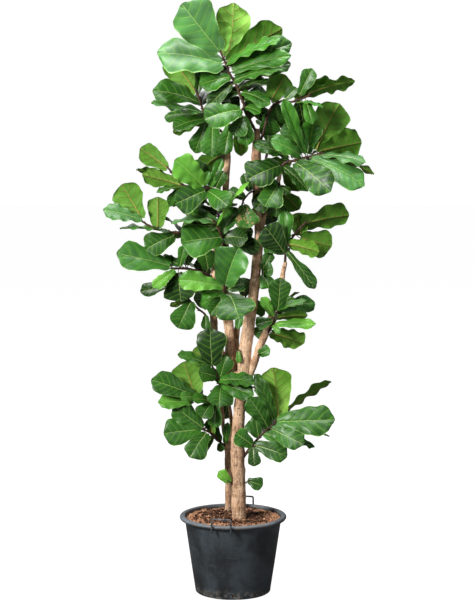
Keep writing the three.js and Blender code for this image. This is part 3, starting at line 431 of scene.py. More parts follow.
def handle_plastic():
    material, tree, shader = new_material("black handle plastic", Specular_IOR_Level=0.5)
    place = object_place(tree)
    wear = smooth_step(tree, noisy(tree, place, 60.0, 5, 0.6), 0.5, 0.75)
    dust = {"Low": 0.3, "High": 0.37, "Patch size": 90.0, "Amount": 0.5}
    settled = put(tree, SETTLED_DUST, dust)
    colour = mixed(tree, wear, srgb(52, 56, 60), srgb(110, 118, 124))
    colour = layered(tree, colour, (settled["Dust"], 1, (128, 116, 102)))
    finished(tree, shader, colour, plus(tree, times(tree, wear, 0.2), 0.36))
    bumped(tree, shader, noisy(tree, place, 700.0, 2, 0.5), 0.00012)
    return material


HANDLE_PLASTIC = handle_plastic()
handle_piece("handle_loop_front", "handle_front", HANDLE_TURN)
handle_piece("handle_loop_back", "handle_back", HANDLE_TURN + math.pi)

# ---- Soil ----
# Potting mix of composted bark and coir, heaped a little towards the trunks and watered there,
# so that it is dark in the middle and dry and tan at the wall. It is only pressed into the pot.
soil_low, soil_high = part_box("soil")
SOIL_EDGE = soil_high.z - 0.011
SOIL_RADIUS = soil_high.x + 0.0014
SOIL_HEAP = 0.0095  # how far the middle stands above the edge
LUMP_HEIGHT = 0.0046
CLOD_HEIGHT = 0.0042
SOIL_RINGS = 80
SOIL_SECTORS = 260


def soil_level(x, y):
    share = min(math.hypot(x, y) / SOIL_RADIUS, 1.0)
    lumps = noise.fractal(Vector((x, y, 0.3)) * 38, 0.8, 2.1, 5) * LUMP_HEIGHT
    clods = abs(noise.noise(Vector((x, y, 4.0)) * 120)) * CLOD_HEIGHT
    return SOIL_EDGE + SOIL_HEAP * (1 - share**2) + lumps + clods


def soil_shape():
    radii = SOIL_RADIUS * np.linspace(0, 1, SOIL_RINGS) ** 0.8
    turns = round_turns(SOIL_SECTORS)
    flat = [(r * math.cos(a), r * math.sin(a)) for r in radii[1:] for a in turns]
    points = [(x, y, soil_level(x, y)) for x, y in flat]
    faces = [(a, d, c, b) for a, b, c, d in ring_faces(SOIL_RINGS - 1, SOIL_SECTORS)]
    centre = len(points)
    points.append((0, 0, soil_level(0, 0)))
    faces += [(centre, i, (i + 1) % SOIL_SECTORS) for i in range(SOIL_SECTORS)]
    edge = (SOIL_RINGS - 2) * SOIL_SECTORS
    foot = len(points)
    foot_radius = FOOT_RADIUS - POT_WALL - 0.001
    points += [(foot_radius * math.cos(a), foot_radius * math.sin(a), soil_low.z) for a in turns]
    for i in range(SOIL_SECTORS):
        j = (i + 1) % SOIL_SECTORS
        faces.append((edge + i, foot + i, foot + j, edge + j))
    faces.append(tuple(foot + i for i in reversed(range(SOIL_SECTORS))))
    return points, faces


def soil_material():
    material, tree, shader = new_material("bark and coir soil", Specular_IOR_Level=0.3)
    place = object_place(tree)
    level = stretched(tree, place, 1, 1, 0)
    reach = add(tree, "ShaderNodeVectorMath", {0: level}, operation="LENGTH").outputs["Value"]
    wander = times(tree, noisy(tree, place, 14.0, 5, 0.6), 0.12)
    dry = smooth_step(tree, plus(tree, reach, wander), 0.185, 0.235)
    lumps = noisy(tree, place, 60.0, 7, 0.7)
    fibres = noisy(tree, stretched(tree, place, 120, 420, 200), 1.0, 4, 0.6, 1.2)
    # Both colours follow the lumps that the bump raises: darker in the hollows as painted shade
    # and paler on the tops as painted highlight, over the soil's own wet and dry colours.
    wet = ramp(tree, lumps, 0.35, 0.7, (26, 13, 7), (112, 72, 46))
    dry_crumbs_lit_and_shaded = ramp(tree, lumps, 0.3, 0.65, (122, 78, 52), (236, 184, 146))
    strand = smooth_step(tree, fibres, 0.58, 0.7)
    colour = layered(tree, mixed(tree, dry, wet, dry_crumbs_lit_and_shaded), (strand, 0.6, (150, 104, 70)))
    finished(tree, shader, colour, plus(tree, times(tree, dry, 0.3), 0.62))
    bumped(tree, shader, plus(tree, lumps, fibres), 0.005)
    return material


soil = new_piece("soil_bed", *soil_shape(), soil_material())
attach(soil, "root")
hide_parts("soil")

# ---- Bark chips and coir strands ----
# Loose flakes of pine bark lie on the soil, dark where it is wet and tan at its edge, with
# curled strands of coconut fibre between them. They are part of the mix and rest on its top.
CHIP_SIDES = 6
CHIP_MARGIN = 0.188


def soil_spot(rng, least=0.0, most=CHIP_MARGIN):
    turn = rng.uniform(0, 2 * math.pi)
    reach = math.sqrt(rng.uniform(least**2, most**2))
    return reach * math.cos(turn), reach * math.sin(turn)


def chip_shape(rng, x, y, size):
    """A flake with an uneven outline, broken edges and a slight tilt."""
    turns = round_turns(CHIP_SIDES) + rng.uniform(0, 1)
    reach = size * rng.uniform(0.6, 1.1, CHIP_SIDES)
    stretch = rng.uniform(0.35, 0.8)
    thick = size * rng.uniform(0.28, 0.6)
    heading = rng.uniform(0, math.pi)
    tilt, roll = rng.normal(0, 0.5, 2)
    points = []
    for level, share in ((-1, 0.82), (0.1, 1.0), (1, 0.72)):
        for turn, out in zip(turns, reach):
            u, v = out * share * math.cos(turn), out * share * stretch * math.sin(turn)
            w = level * thick / 2 + u * tilt + v * roll
            along = u * math.cos(heading) - v * math.sin(heading)
            across = u * math.sin(heading) + v * math.cos(heading)
            points.append((x + along, y + across, soil_level(x, y) + thick * 0.3 + w))
    under = tuple(range(CHIP_SIDES - 1, -1, -1))
    over = tuple(2 * CHIP_SIDES + i for i in range(CHIP_SIDES))
    return points, [under, over, *ring_faces(3, CHIP_SIDES)]


def strand_shape(rng):
    x, y = soil_spot(rng)
    heading = rng.uniform(0, 2 * math.pi)
    length = rng.uniform(0.012, 0.04)
    bow = rng.normal(0, 0.3)
    path = []
    for share in np.linspace(0, 1, 7):
        turn = heading + bow * (share - 0.5) * 4
        x += length / 6 * math.cos(turn)
        y += length / 6 * math.sin(turn)
        hop = 0.003 * math.sin(math.pi * share)
        path.append((x, y, soil_level(x, y) + 0.001 + hop))
    inside = all(math.hypot(px, py) < CHIP_MARGIN for px, py, _ in path)
    return sweep(path, 0.0005, 5) if inside else ([], [])


def chip_material(name, dark, pale):
    material, tree, shader = new_material(name, Specular_IOR_Level=0.3)
    place = object_place(tree)
    patches = noisy(tree, place, 70.0, 3, 0.6)
    grain = noisy(tree, stretched(tree, place, 900, 160, 900), 1.0, 4, 0.6)
    colour = ramp(tree, patches, 0.35, 0.65, dark, pale)
    colour = layered(tree, colour, (grain, 0.5, dark))
    finished(tree, shader, colour, plus(tree, times(tree, grain, 0.2), 0.65))
    bumped(tree, shader, grain, 0.0006)
    return material


def scatter(name, count, seed, least, most, sizes, material):
    rng = np.random.default_rng(seed)
    spots = [soil_spot(rng, least, most) for _ in range(count)]
    shapes = [chip_shape(rng, x, y, rng.uniform(*sizes)) for x, y in spots]
    piece = new_piece(name, *joined_shapes(shapes), material, smooth=False)
    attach(piece, "root")
    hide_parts("soil")


DARK_CHIP = chip_material("wet bark chip", (28, 14, 8), (112, 70, 44))
TAN_CHIP = chip_material("dry bark chip", (140, 90, 60), (240, 188, 150))
scatter("bark_chips_wet", 560, 11, 0.0, 0.17, (0.004, 0.012), DARK_CHIP)
scatter("bark_chips_dry", 420, 12, 0.14, CHIP_MARGIN, (0.003, 0.009), TAN_CHIP)
scatter("bark_chips_scattered", 170, 13, 0.02, 0.16, (0.003, 0.009), TAN_CHIP)
strand_rng = np.random.default_rng(14)
strands = new_piece(
    "coir_strands", *joined_shapes([strand_shape(strand_rng) for _ in range(160)]), TAN_CHIP
)
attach(strands, "root")
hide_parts("soil")

# ---- Trunks ----
# Two old woody stems with tan, finely cracked bark that darkens towards the leaves. The thick
# one forks into five limbs grown out of it. Rings and dark dots mark where leaves once grew.
EYE = Vector((0.019, -7.545, 2.065))
CM = 0.01
BARK_VOXEL = 0.0026
BARK_THICKNESS = 0.001
BARK_LUMPS = 0.0026
BARK_RINGS = 0.001
BARK_CRACKS = 0.0007
LIMB_STEP = 0.012
LIMB_SIDES = 20
# Each limb is points of (x, z, depth, diameter) in centimetres. The depth slides a point away
# along the line from EYE, as in the CAD part, so that the limb keeps its course seen from there.
MAIN_TRUNK = [
    (2.6, 26, -4, 7.6), (2.5, 34, -4, 7), (2.3, 46, -4, 6.3), (2, 58, -4, 6.2), (2, 65, -4, 5.7),
    (2.4, 74, -3.6, 5), (3.2, 83, -3.2, 4.9), (4.6, 93, -3, 5.6), (4.9, 102, -2.6, 5.6),
    (6, 110, -2.2, 5.1), (7.1, 117, -1.8, 4.7), (8.9, 129, -1.2, 4.3), (9.9, 139, -0.8, 4.2),
    (10.7, 149, -0.4, 3.7), (10.7, 156, 0, 3.4), (9.8, 168, 0, 3.4), (9.9, 180, 0, 3.8),
    (9.7, 184, 0, 4.3), (9.8, 190, 0, 4.1), (10.2, 197, 0, 3.2),
]
LEFT_LIMB = [
    (3.4, 87, -3, 3), (1.2, 94, -1, 3.4), (-1.1, 101, 1, 4.1), (-1.2, 109, 2, 4.2),
    (-2.2, 119, 2.6, 4.3), (-3, 134, 3, 3.7), (-3.4, 147, 3, 3.5), (-3, 161, 3, 3.1),
    (-2.9, 173, 3, 2.8), (-2.5, 182, 3, 2.9), (-1.7, 196, 3, 2),
]
RIGHT_LIMB = [
    (4.8, 89, -3, 3.2), (8.2, 96, -3.6, 3.2), (10.9, 104, -4.2, 3.2), (13.3, 110, -4.6, 2.9),
    (15.8, 117, -5, 2.5), (18.2, 126, -5.5, 2.4), (20.3, 133, -6, 2.4), (21.6, 139, -6, 2.3),
    (22.2, 141.5, -6, 1.8),
]
FAR_LEFT_LIMB = [
    (3, 86, -3, 2.6), (-1, 95, 2, 3), (-5, 103, 6.4, 3.1), (-7.7, 110, 8.8, 3.3),
    (-8.1, 118, 9, 3.3), (-8, 130, 9.2, 3.1), (-7.7, 140, 9, 2.8), (-7.2, 149, 9, 2.2),
]
INNER_LIMB = [
    (4, 92, -2.6, 1.6), (2, 98, 0, 1.9), (1.5, 105, 3, 2.1), (1.6, 112, 4.5, 2.1),
    (3, 118.5, 5, 1.8), (5.4, 124, 5, 1.2),
]
UPPER_RIGHT_LIMB = [
    (10.4, 147, -0.4, 1.8), (12.4, 157, 1.5, 1.9), (14.5, 163.5, 2, 2), (17.4, 171, 1.5, 1.8),
    (19.4, 177, 0.5, 1.6), (20, 180, 0, 1.3),
]
BACK_TRUNK = [
    (-2, 27, 11, 3.8), (-2, 36, 11, 3.3), (-1.9, 48, 10.5, 3), (-2.1, 58, 10, 2.9),
    (-2.8, 64.5, 9.5, 2.2), (-4, 70, 8, 1.6), (-4.5, 76, 6.5, 1.5), (-4.9, 83, 4, 1.4),
    (-5.3, 88.5, 1.5, 1.2),
]
BACK_TRUNK_SIDE = [
    (-2.1, 60, 10, 2), (-0.9, 67, 10, 1.6), (-0.8, 74, 10.5, 1.5), (-1.7, 82, 11, 1.2),
]
MAIN_LIMBS = [MAIN_TRUNK, LEFT_LIMB, RIGHT_LIMB, FAR_LEFT_LIMB, INNER_LIMB, UPPER_RIGHT_LIMB]
BACK_LIMBS = [BACK_TRUNK, BACK_TRUNK_SIDE]


def place(x, z, depth):
    on_plane = Vector((x * CM, 0, z * CM))
    return np.array((on_plane - EYE) * (1 - depth * CM / EYE.y) + EYE)


def smooth_course(rows, step):
    """Rows of (x, z, depth, diameter) as centres and radii along a curve through every row."""
    known = np.array([[*place(*row[:3]), row[3] * CM / 2] for row in rows])
    padded = np.vstack([2 * known[0] - known[1], known, 2 * known[-1] - known[-2]])
    course = []
    for before, start, end, after in zip(padded, padded[1:], padded[2:], padded[3:]):
        count = max(2, round(np.linalg.norm((end - start)[:3]) / step))
        for t in np.arange(count) / count:
            bow = (2 * before - 5 * start + 4 * end - after) * t**2
            swing = (3 * start - before - 3 * end + after) * t**3
            course.append(0.5 * (2 * start + (end - before) * t + bow + swing))
    course = np.array([*course, known[-1]])
    return course[:, :3], course[:, 3]


def limb_shape(rows):
    centres, radii = smooth_course(rows, LIMB_STEP)
    ends = np.sin(np.linspace(0, 1, len(radii)) * math.pi) ** 0.08
    return sweep(centres, radii * np.maximum(ends, 0.7), LIMB_SIDES)


def bark_height(spot):
    lumps = noise.fractal(spot * 22, 0.9, 2.0, 3) * BARK_LUMPS
    rings = noise.noise(Vector((spot.x * 3, spot.y * 3, spot.z * 42))) * BARK_RINGS
    cracks = -abs(noise.noise(Vector((spot.x * 190, spot.y * 190, spot.z * 26)))) * BARK_CRACKS
    return BARK_THICKNESS + lumps + rings + cracks


def bark():
    material, tree, shader = new_material("fig bark", Specular_IOR_Level=0.28)
    place_at = object_place(tree)
    wander = times(tree, noisy(tree, place_at, 5.0, 3, 0.6), 0.5)
    height = plus(tree, heights(tree, place_at), wander)
    young = smooth_step(tree, height, 1.95, 2.35)
    clouds = noisy(tree, place_at, 16.0, 6, 0.65)
    grain = noisy(tree, stretched(tree, place_at, 210, 210, 24), 1.0, 6, 0.65, 0.6)
    flecks = noisy(tree, stretched(tree, place_at, 90, 90, 200), 1.0, 3, 0.6)
    old = ramp(tree, clouds, 0.3, 0.7, (178, 136, 104), (238, 200, 166))
    fresh = ramp(tree, clouds, 0.3, 0.7, (112, 80, 56), (184, 142, 106))
    crack = smooth_step(tree, grain, 0.52, 0.66)
    fleck = smooth_step(tree, flecks, 0.6, 0.7)
    inputs = {"Vector": stretched(tree, place_at, 26, 26, 34), "Scale": 1.0, "Randomness": 1.0}
    cells = add(tree, "ShaderNodeTexVoronoi", inputs)
    dot = minus(tree, 1.0, smooth_step(tree, cells.outputs["Distance"], 0.07, 0.13))
    specks = noisy(tree, stretched(tree, place_at, 130, 130, 70), 1.0, 2, 0.7)
    rings = noisy(tree, stretched(tree, place_at, 5, 5, 85), 1.0, 3, 0.5)
    colour = layered(
        tree,
        mixed(tree, young, old, fresh),
        (crack, 0.75, (98, 68, 46)),
        (fleck, 0.65, (244, 220, 190)),
        (dot, 0.85, (52, 34, 24)),
        (smooth_step(tree, specks, 0.6, 0.68), 0.7, (74, 48, 32)),
        (smooth_step(tree, rings, 0.6, 0.68), 0.35, (96, 68, 48)),
        (smooth_step(tree, height, 0.62, 0.5), 0.3, (106, 74, 50)),
    )
    finished(tree, shader, colour, plus(tree, times(tree, grain, 0.25), 0.62))
    relief = minus(tree, fleck, times(tree, crack, 1.4))
    relief = minus(tree, relief, dot)
    bumped(tree, shader, relief, 0.0011)
    return material


BARK = bark()


def trunk_piece(name, node, limbs):
    """The limbs grown into one skin, with lumps, rings and cracks in it."""
    piece = new_piece(name, *joined_shapes([limb_shape(rows) for rows in limbs]), BARK)
    with_modifier(piece, "REMESH", mode="VOXEL", voxel_size=BARK_VOXEL, use_smooth_shade=True)
    with_modifier(piece, "SMOOTH", factor=0.5, iterations=4)
    mesh = piece.data
    skin = [(Vector(vertex.co), Vector(vertex.normal)) for vertex in mesh.vertices]
    for vertex, (spot, normal) in zip(mesh.vertices, skin):
        vertex.co = spot + normal * bark_height(spot)
    mesh.polygons.foreach_set("use_smooth", [True] * len(mesh.polygons))
    if not mesh.materials:
        mesh.materials.append(BARK)
    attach(piece, "root")
    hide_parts(node)


trunk_piece("trunk_with_limbs", "trunk_main", MAIN_LIMBS)
trunk_piece("thin_back_trunk", "trunk_back", BACK_LIMBS)

# ---- Top of the crown ----
# Every shoot is a dark twig that ends in a bud and carries leathery, fiddle-shaped leaves on
# short stalks. A leaf is deep glossy green above and paler below, quilted between pale veins.
PETIOLE_REACH = 0.15
LEAF_THICKNESS = 0.0012
TWIG_STEP = 0.004
TWIG_SIDES = 10
RING_SPACING = 0.018
SCALE_SPACING = 0.016
STALK_SIDES = 8
BLADE_STEP = 0.008
QUILT_SHARE = 0.012  # how far the blade swells between veins, as a share of its length
RIB_WIDTH = 0.0022
RIB_DEPTH = 0.0034
VEIN_PAIRS = 6
VEIN_SLANT = 0.24
OUTLINE_ALONG = [0, 0.03, 0.08, 0.15, 0.24, 0.36, 0.5, 0.62, 0.74, 0.84, 0.92, 0.97, 1]
OUTLINE_HALF = [0.14, 0.36, 0.52, 0.57, 0.6, 0.73, 0.9, 0.99, 1.02, 0.97, 0.82, 0.6, 0.24]
OUTLINE_EASING = (-0.03, -0.01, 0.01, 0.03)
ACROSS = [0, 0.03, 0.09, 0.19, 0.31, 0.44, 0.57, 0.7, 0.82, 0.92, 1]
# How fresh (0 old, 1 just opened), how much painted sheen and how spotted each tone's leaf is.
TONES = {
    # The darkest tone is painted shade: leaves inside and at the back of the crown get the
    # darkest old green, where shade falls.
    "painted_shade": (0.0, 0.0, 0.0),
    "mature": (0.27, 0.05, 0.0),
    # The pale tone is mostly painted sheen, a pale blue-green reflection of the light.
    "pale": (0.3, 0.8, 0.0),
    "fresh": (0.5, 0.35, 0.0),
    "young": (0.8, 0.2, 0.0),
    "scarred": (0.35, 0.2, 1.0),
}


def leaf(base_x, base_z, tip_x, tip_z, reach, width, tilt, fold, bend, tone="mature", turn=0):
    """base and tip: the blade's ends (cm). reach: how far its tip comes forward (cm). width: cm.
    tilt: where its upper side faces (0 front, 90 up, 180 back). fold: how far its halves fold
    up (degrees). bend: its arch, as a share of its length. tone: a row of TONES. turn: a turn
    about +Z (degrees). A shoot's rows of leaves give these in the same order."""
    return {
        "base": (base_x, base_z),
        "tip": (tip_x, tip_z),
        "reach": reach,
        "width": width * CM,
        "angles": np.radians([tilt, fold, turn]),
        "bend": bend,
        "tone": tone,
    }


def nearest_on_twig(twig, x, z):
    best = None
    for start, end in zip(twig, twig[1:]):
        dx, dz = end[0] - start[0], end[1] - start[1]
        share = ((x - start[0]) * dx + (z - start[1]) * dz) / (dx * dx + dz * dz)
        share = min(max(share, 0), 1)
        point = [a + (b - a) * share for a, b in zip(start[:3], end[:3])]
        distance = math.hypot(x - point[0], z - point[1])
        if best is None or distance < best[0]:
            best = (distance, point)
    return best[1]


def unit(vector):
    return vector / np.linalg.norm(vector)


def leaf_frame(row, twig):
    """Where a leaf stands: its stalk's start, its base, its length, and its three directions."""
    tilt, _, turn = row["angles"]
    root = nearest_on_twig(twig, *row["base"])
    start = place(*root)
    base = place(*row["base"], root[2] - row["reach"] * PETIOLE_REACH)
    tip = place(*row["tip"], root[2] - row["reach"])
    along = unit(tip - base)
    level = math.cos(tilt)
    faces = np.array([level * math.sin(turn), -level * math.cos(turn), math.sin(tilt)])
    upper = unit(faces - along * faces.dot(along))
    return start, base, np.linalg.norm(tip - base), along, upper, np.cross(along, upper)


def blade_stations(length):
    count = int(np.clip(length / BLADE_STEP, 14, 34))
    even = np.linspace(0, 1, count)
    eased = 0.5 - 0.5 * np.cos(np.pi * even)
    return 0.5 * even + 0.5 * eased


def blade_grid(row, frame_of_leaf, rng):
    """The blade's middle sheet as a grid of points, with what the veins need at each point."""
    _, base, length, along, upper, side = frame_of_leaf
    fold = row["angles"][1]
    across = np.array([-s for s in reversed(ACROSS[1:])] + ACROSS)
    t, s = np.meshgrid(blade_stations(length), across, indexing="ij")
    edge = np.abs(s)
    waist = rng.uniform(-0.06, 0.1) + 0.12 * (row["width"] < 0.06)
    outlines = [np.interp(t + off, OUTLINE_ALONG, OUTLINE_HALF) for off in OUTLINE_EASING]
    half = np.mean(outlines, axis=0) + waist * np.exp(-(((t - 0.2) / 0.13) ** 2))
    wander = 0.055 * np.sin(t * rng.uniform(5, 11) + rng.uniform(0, 6) + 1.7 * np.sign(s))
    ripple = 0.018 * np.sin(t * rng.uniform(26, 40) + np.sign(s)) + rng.normal(0, 0.07) * s
    half *= row["width"] / 2 * (1 + wander + ripple)
    pairs = VEIN_PAIRS + rng.uniform(-0.6, 0.9)
    drift = 0.16 * np.sin(t * rng.uniform(5, 8) + rng.uniform(0, 6))
    stagger = np.where(s < 0, rng.uniform(0.3, 0.6), 0.0)
    phase = pairs * (t - VEIN_SLANT * edge**1.3) + stagger + drift
    quilt = np.abs(np.sin(np.pi * phase)) ** 0.7 * np.minimum(edge / 0.15, 1) * (1 - edge**4)
    height = half * np.sin(fold) * edge * (1.15 - 0.45 * edge)
    height += quilt * length * QUILT_SHARE
    course = 2 * np.pi * (rng.uniform(2.2, 3.6) * t + rng.uniform(0, 1))
    waves = np.sin(course + np.where(s < 0, 2.1, 0))
    height += waves * edge**2.2 * length * rng.uniform(0.02, 0.054) * np.sin(np.pi * t) ** 0.5
    height -= rng.uniform(-0.05, 0.16) * half * edge**3
    height += row["bend"] * length * 4 * t * (1 - t)
    twist = rng.normal(0, 0.22) * (t - 0.4)
    slip = -0.045 * length * edge * np.maximum(1 - t / 0.14, 0)
    slip -= rng.uniform(0.03, 0.06) * length * edge**2 * np.clip((t - 0.8) / 0.2, 0, 1)
    sideways = half * s * np.cos(fold) + rng.normal(0, 0.012) * length * 4 * t * (1 - t)
    points = (
        base
        + along * (length * t + slip)[..., None]
        + side * (sideways * np.cos(twist) - height * np.sin(twist))[..., None]
        + upper * (height * np.cos(twist) + sideways * np.sin(twist))[..., None]
    )
    blade = np.stack([length * t, half * s, phase], axis=-1)
    share = np.stack([t, edge, np.full_like(t, rng.uniform())], axis=-1)
    return points, blade, share


def sheet_normals(points):
    normals = np.cross(np.gradient(points, axis=0), np.gradient(points, axis=1))
    return normals / np.linalg.norm(normals, axis=-1)[..., None]


def leaf_shape(row, twig, rng):
    """A thin closed blade: the upper skin, the lower skin with its raised midrib, and a rim."""
    frame_of_leaf = leaf_frame(row, twig)
    points, blade, share = blade_grid(row, frame_of_leaf, rng)
    normals = sheet_normals(points)
    if normals.mean(axis=(0, 1)).dot(frame_of_leaf[4]) < 0:
        normals = -normals
    thick = LEAF_THICKNESS * (1 - 0.7 * share[..., 1:2] ** 3)
    rib = np.exp(-((blade[..., 1:2] / RIB_WIDTH) ** 2)) * (1 - 0.75 * share[..., 0:1])
    rib *= min(RIB_DEPTH, frame_of_leaf[2] * 0.016)
    top = points + normals * (thick / 2 + rib * 0.1)
    under = points - normals * (thick / 2 + rib)
    rows, columns = points.shape[:2]
    index = np.arange(rows * columns).reshape(rows, columns)
    quads = np.stack([index[:-1, :-1], index[:-1, 1:], index[1:, 1:], index[1:, :-1]], axis=-1)
    quads = quads.reshape(-1, 4)
    loop = [*index[0, :], *index[1:, -1], *index[-1, -2::-1], *index[-2:0:-1, 0]]
    below = rows * columns
    rim = [(a, b, b + below, a + below) for a, b in zip(loop, loop[1:] + loop[:1])]
    lower = (quads + below)[:, ::-1]
    tone = np.array(TONES[row["tone"]]) + (rng.normal(0, 0.12), 0, 0)
    return {
        "points": np.concatenate([top.reshape(-1, 3), under.reshape(-1, 3)]),
        "faces": [*quads.tolist(), *lower.tolist(), *rim],
        "lower": [0] * len(quads) + [1] * (len(lower) + len(rim)),
        "blade": np.tile(blade.reshape(-1, 3), (2, 1)),
        "share": np.tile(share.reshape(-1, 3), (2, 1)),
        "tone": np.tile(tone, (2 * below, 1)),
    }


def leaf_veins():
    """Where a leaf's midrib, side veins and fine net lie, from the measures its blade carries."""
    numbers = {"Midrib width": 0.0014, "Vein share": 0.055, "Net scale": 95.0}
    outputs = ["Midrib", "Side veins", "Near veins", "Net", "Rim"]
    tree, inward, outward = new_group("Leaf veins", numbers, outputs)
    blade = add(tree, "ShaderNodeAttribute", attribute_name="blade").outputs["Vector"]
    share = add(tree, "ShaderNodeAttribute", attribute_name="share").outputs["Vector"]
    measures = add(tree, "ShaderNodeSeparateXYZ", {0: blade}).outputs
    shares = add(tree, "ShaderNodeSeparateXYZ", {0: share}).outputs
    taper = minus(tree, 1.0, times(tree, shares[0], 0.7))
    wide = times(tree, inward["Midrib width"], taper)
    off_rib = maths(tree, "ABSOLUTE", measures[1])
    rib = smooth_step(tree, off_rib, wide, times(tree, wide, 0.45))
    phase = maths(tree, "FRACT", measures[2])
    off_middle = maths(tree, "ABSOLUTE", minus(tree, phase, 0.5))
    off_vein = minus(tree, 0.5, off_middle)
    thin = minus(tree, 1.0, times(tree, shares[1], 0.65))
    vein_wide = times(tree, inward["Vein share"], thin)
    vein = smooth_step(tree, off_vein, vein_wide, times(tree, vein_wide, 0.4))
    ends = smooth_step(tree, shares[1], 0.97, 0.86)
    near = smooth_step(tree, off_vein, 0.3, 0.0)
    cells = {0: measures[0], 1: measures[1], 2: shares[2]}
    flat = add(tree, "ShaderNodeCombineXYZ", cells).outputs[0]
    cell_inputs = {"Vector": flat, "Scale": inward["Net scale"]}
    net = add(tree, "ShaderNodeTexVoronoi", cell_inputs, feature="DISTANCE_TO_EDGE")
    mesh_of_net = smooth_step(tree, net.outputs["Distance"], 0.09, 0.02)
    rim = smooth_step(tree, shares[1], 0.955, 0.99)
    masks = (rib, times(tree, vein, ends), near, mesh_of_net, rim)
    for name, mask in zip(outputs, masks):
        tree.links.new(mask, outward[name])
    return tree


LEAF_VEINS = leaf_veins()


def tone_of(tree):
    tone = add(tree, "ShaderNodeAttribute", attribute_name="tone").outputs["Vector"]
    return add(tree, "ShaderNodeSeparateXYZ", {0: tone}).outputs


def leaf_scars():
    """Corky brown scars and small spots, only as far as the leaf's tone asks for them."""
    tree, inward, outward = new_group("Leaf scars", {"Amount": 1.0}, ["Scars"])
    corky = noisy(tree, object_place(tree), 60.0, 3, 0.5, 1.5)
    scars = times(tree, smooth_step(tree, corky, 0.55, 0.62), inward["Amount"])
    tree.links.new(scars, outward["Scars"])
    return tree


LEAF_SCARS = leaf_scars()


def leaf_upper():
    constants = {"Specular_IOR_Level": 0.3, "Coat_Roughness": 0.25, "Coat_Weight": 0.12}
    material, tree, shader = new_material("leaf upper side", **constants)
    veins = put(tree, LEAF_VEINS, {"Midrib width": 0.002, "Vein share": 0.042})
    fresh, painted_sheen, spots = tone_of(tree)
    scars = put(tree, LEAF_SCARS, {"Amount": spots})["Scars"]
    place_at = object_place(tree)
    clouds = noisy(tree, place_at, 9.0, 4, 0.6)
    # The old green is partly the colour of old leaves and partly painted shade, darkened for the
    # leaves inside and at the back of the crown.
    old = ramp(tree, clouds, 0.3, 0.7, (7, 26, 6), (20, 54, 12))
    grown = ramp(tree, clouds, 0.3, 0.7, (26, 76, 14), (60, 128, 28))
    new = ramp(tree, clouds, 0.3, 0.7, (72, 146, 30), (124, 192, 58))
    colour = mixed(tree, smooth_step(tree, fresh, 0.0, 0.5), old, grown)
    colour = mixed(tree, smooth_step(tree, fresh, 0.5, 1.0), colour, new)
    colour = layered(
        tree,
        colour,
        # A pale blue-green painted sheen that stands in for light reflected off the glossy upper
        # side.
        (painted_sheen, 0.3, (118, 170, 118)),
        # Lighter beside the veins: partly the leaf's own pale vein borders and partly painted
        # shade, which leaves the quilted blade darker between the veins.
        (veins["Near veins"], 0.24, (84, 146, 30)),
        (veins["Net"], 0.1, (96, 146, 44)),
        (veins["Side veins"], 0.38, (144, 184, 70)),
        (veins["Midrib"], 0.9, (172, 194, 112)),
        (veins["Rim"], 0.6, (150, 186, 92)),
        (scars, 1, (170, 140, 96)),
    )
    smears = times(tree, noisy(tree, place_at, 40.0, 4, 0.6), 0.2)
    rough = plus(tree, smears, times(tree, veins["Side veins"], 0.1))
    finished(tree, shader, colour, plus(tree, rough, 0.3))
    relief = plus(tree, veins["Side veins"], times(tree, veins["Net"], 0.35))
    grain = times(tree, noisy(tree, place_at, 260.0, 3, 0.6), 0.5)
    bumped(tree, shader, minus(tree, grain, relief), 0.0007)
    return material


def leaf_under():
    material, tree, shader = new_material("leaf under side", Specular_IOR_Level=0.2)
    veins = put(tree, LEAF_VEINS, {"Midrib width": 0.003, "Vein share": 0.085})
    fresh, _, spots = tone_of(tree)
    scars = put(tree, LEAF_SCARS, {"Amount": spots})["Scars"]
    place_at = object_place(tree)
    clouds = noisy(tree, place_at, 8.0, 4, 0.6)
    # Partly the underside's own paler green and partly painted light: the yellow-green stands in
    # for light shining through the leaf from behind.
    old = ramp(tree, clouds, 0.3, 0.7, (64, 116, 28), (98, 152, 50))
    new = ramp(tree, clouds, 0.3, 0.7, (112, 172, 52), (160, 206, 92))
    colour = mixed(tree, smooth_step(tree, fresh, 0.1, 0.9), old, new)
    colour = layered(
        tree,
        colour,
        (veins["Net"], 0.3, (86, 122, 44)),
        (veins["Side veins"], 0.7, (112, 92, 44)),
        (veins["Midrib"], 0.85, (158, 136, 76)),
        (scars, 1, (170, 140, 96)),
    )
    felt = noisy(tree, place_at, 300.0, 3, 0.6)
    finished(tree, shader, colour, plus(tree, times(tree, felt, 0.2), 0.5))
    relief = plus(tree, veins["Side veins"], times(tree, veins["Net"], 0.5))
    bumped(tree, shader, relief, 0.0009)
    return material


def stem_skin():
    """Twigs near-black brown and ringed; stalks turn green towards their leaf."""
    material, tree, shader = new_material("twig and stalk skin", Specular_IOR_Level=0.4)
    green = add(tree, "ShaderNodeAttribute", attribute_name="green").outputs["Fac"]
    place_at = object_place(tree)
    patches = noisy(tree, place_at, 90.0, 4, 0.6)
    twig = ramp(tree, patches, 0.35, 0.7, (36, 20, 14), (92, 62, 42))
    stalk = ramp(tree, patches, 0.35, 0.7, (88, 98, 46), (142, 160, 84))
    colour = mixed(tree, smooth_step(tree, green, 0.15, 0.85), twig, stalk)
    finished(tree, shader, colour, plus(tree, times(tree, patches, 0.3), 0.4))
    bumped(tree, shader, noisy(tree, place_at, 320.0, 4, 0.6), 0.0006)
    return material


LEAF_UPPER, LEAF_UNDER, STEM_SKIN = leaf_upper(), leaf_under(), stem_skin()


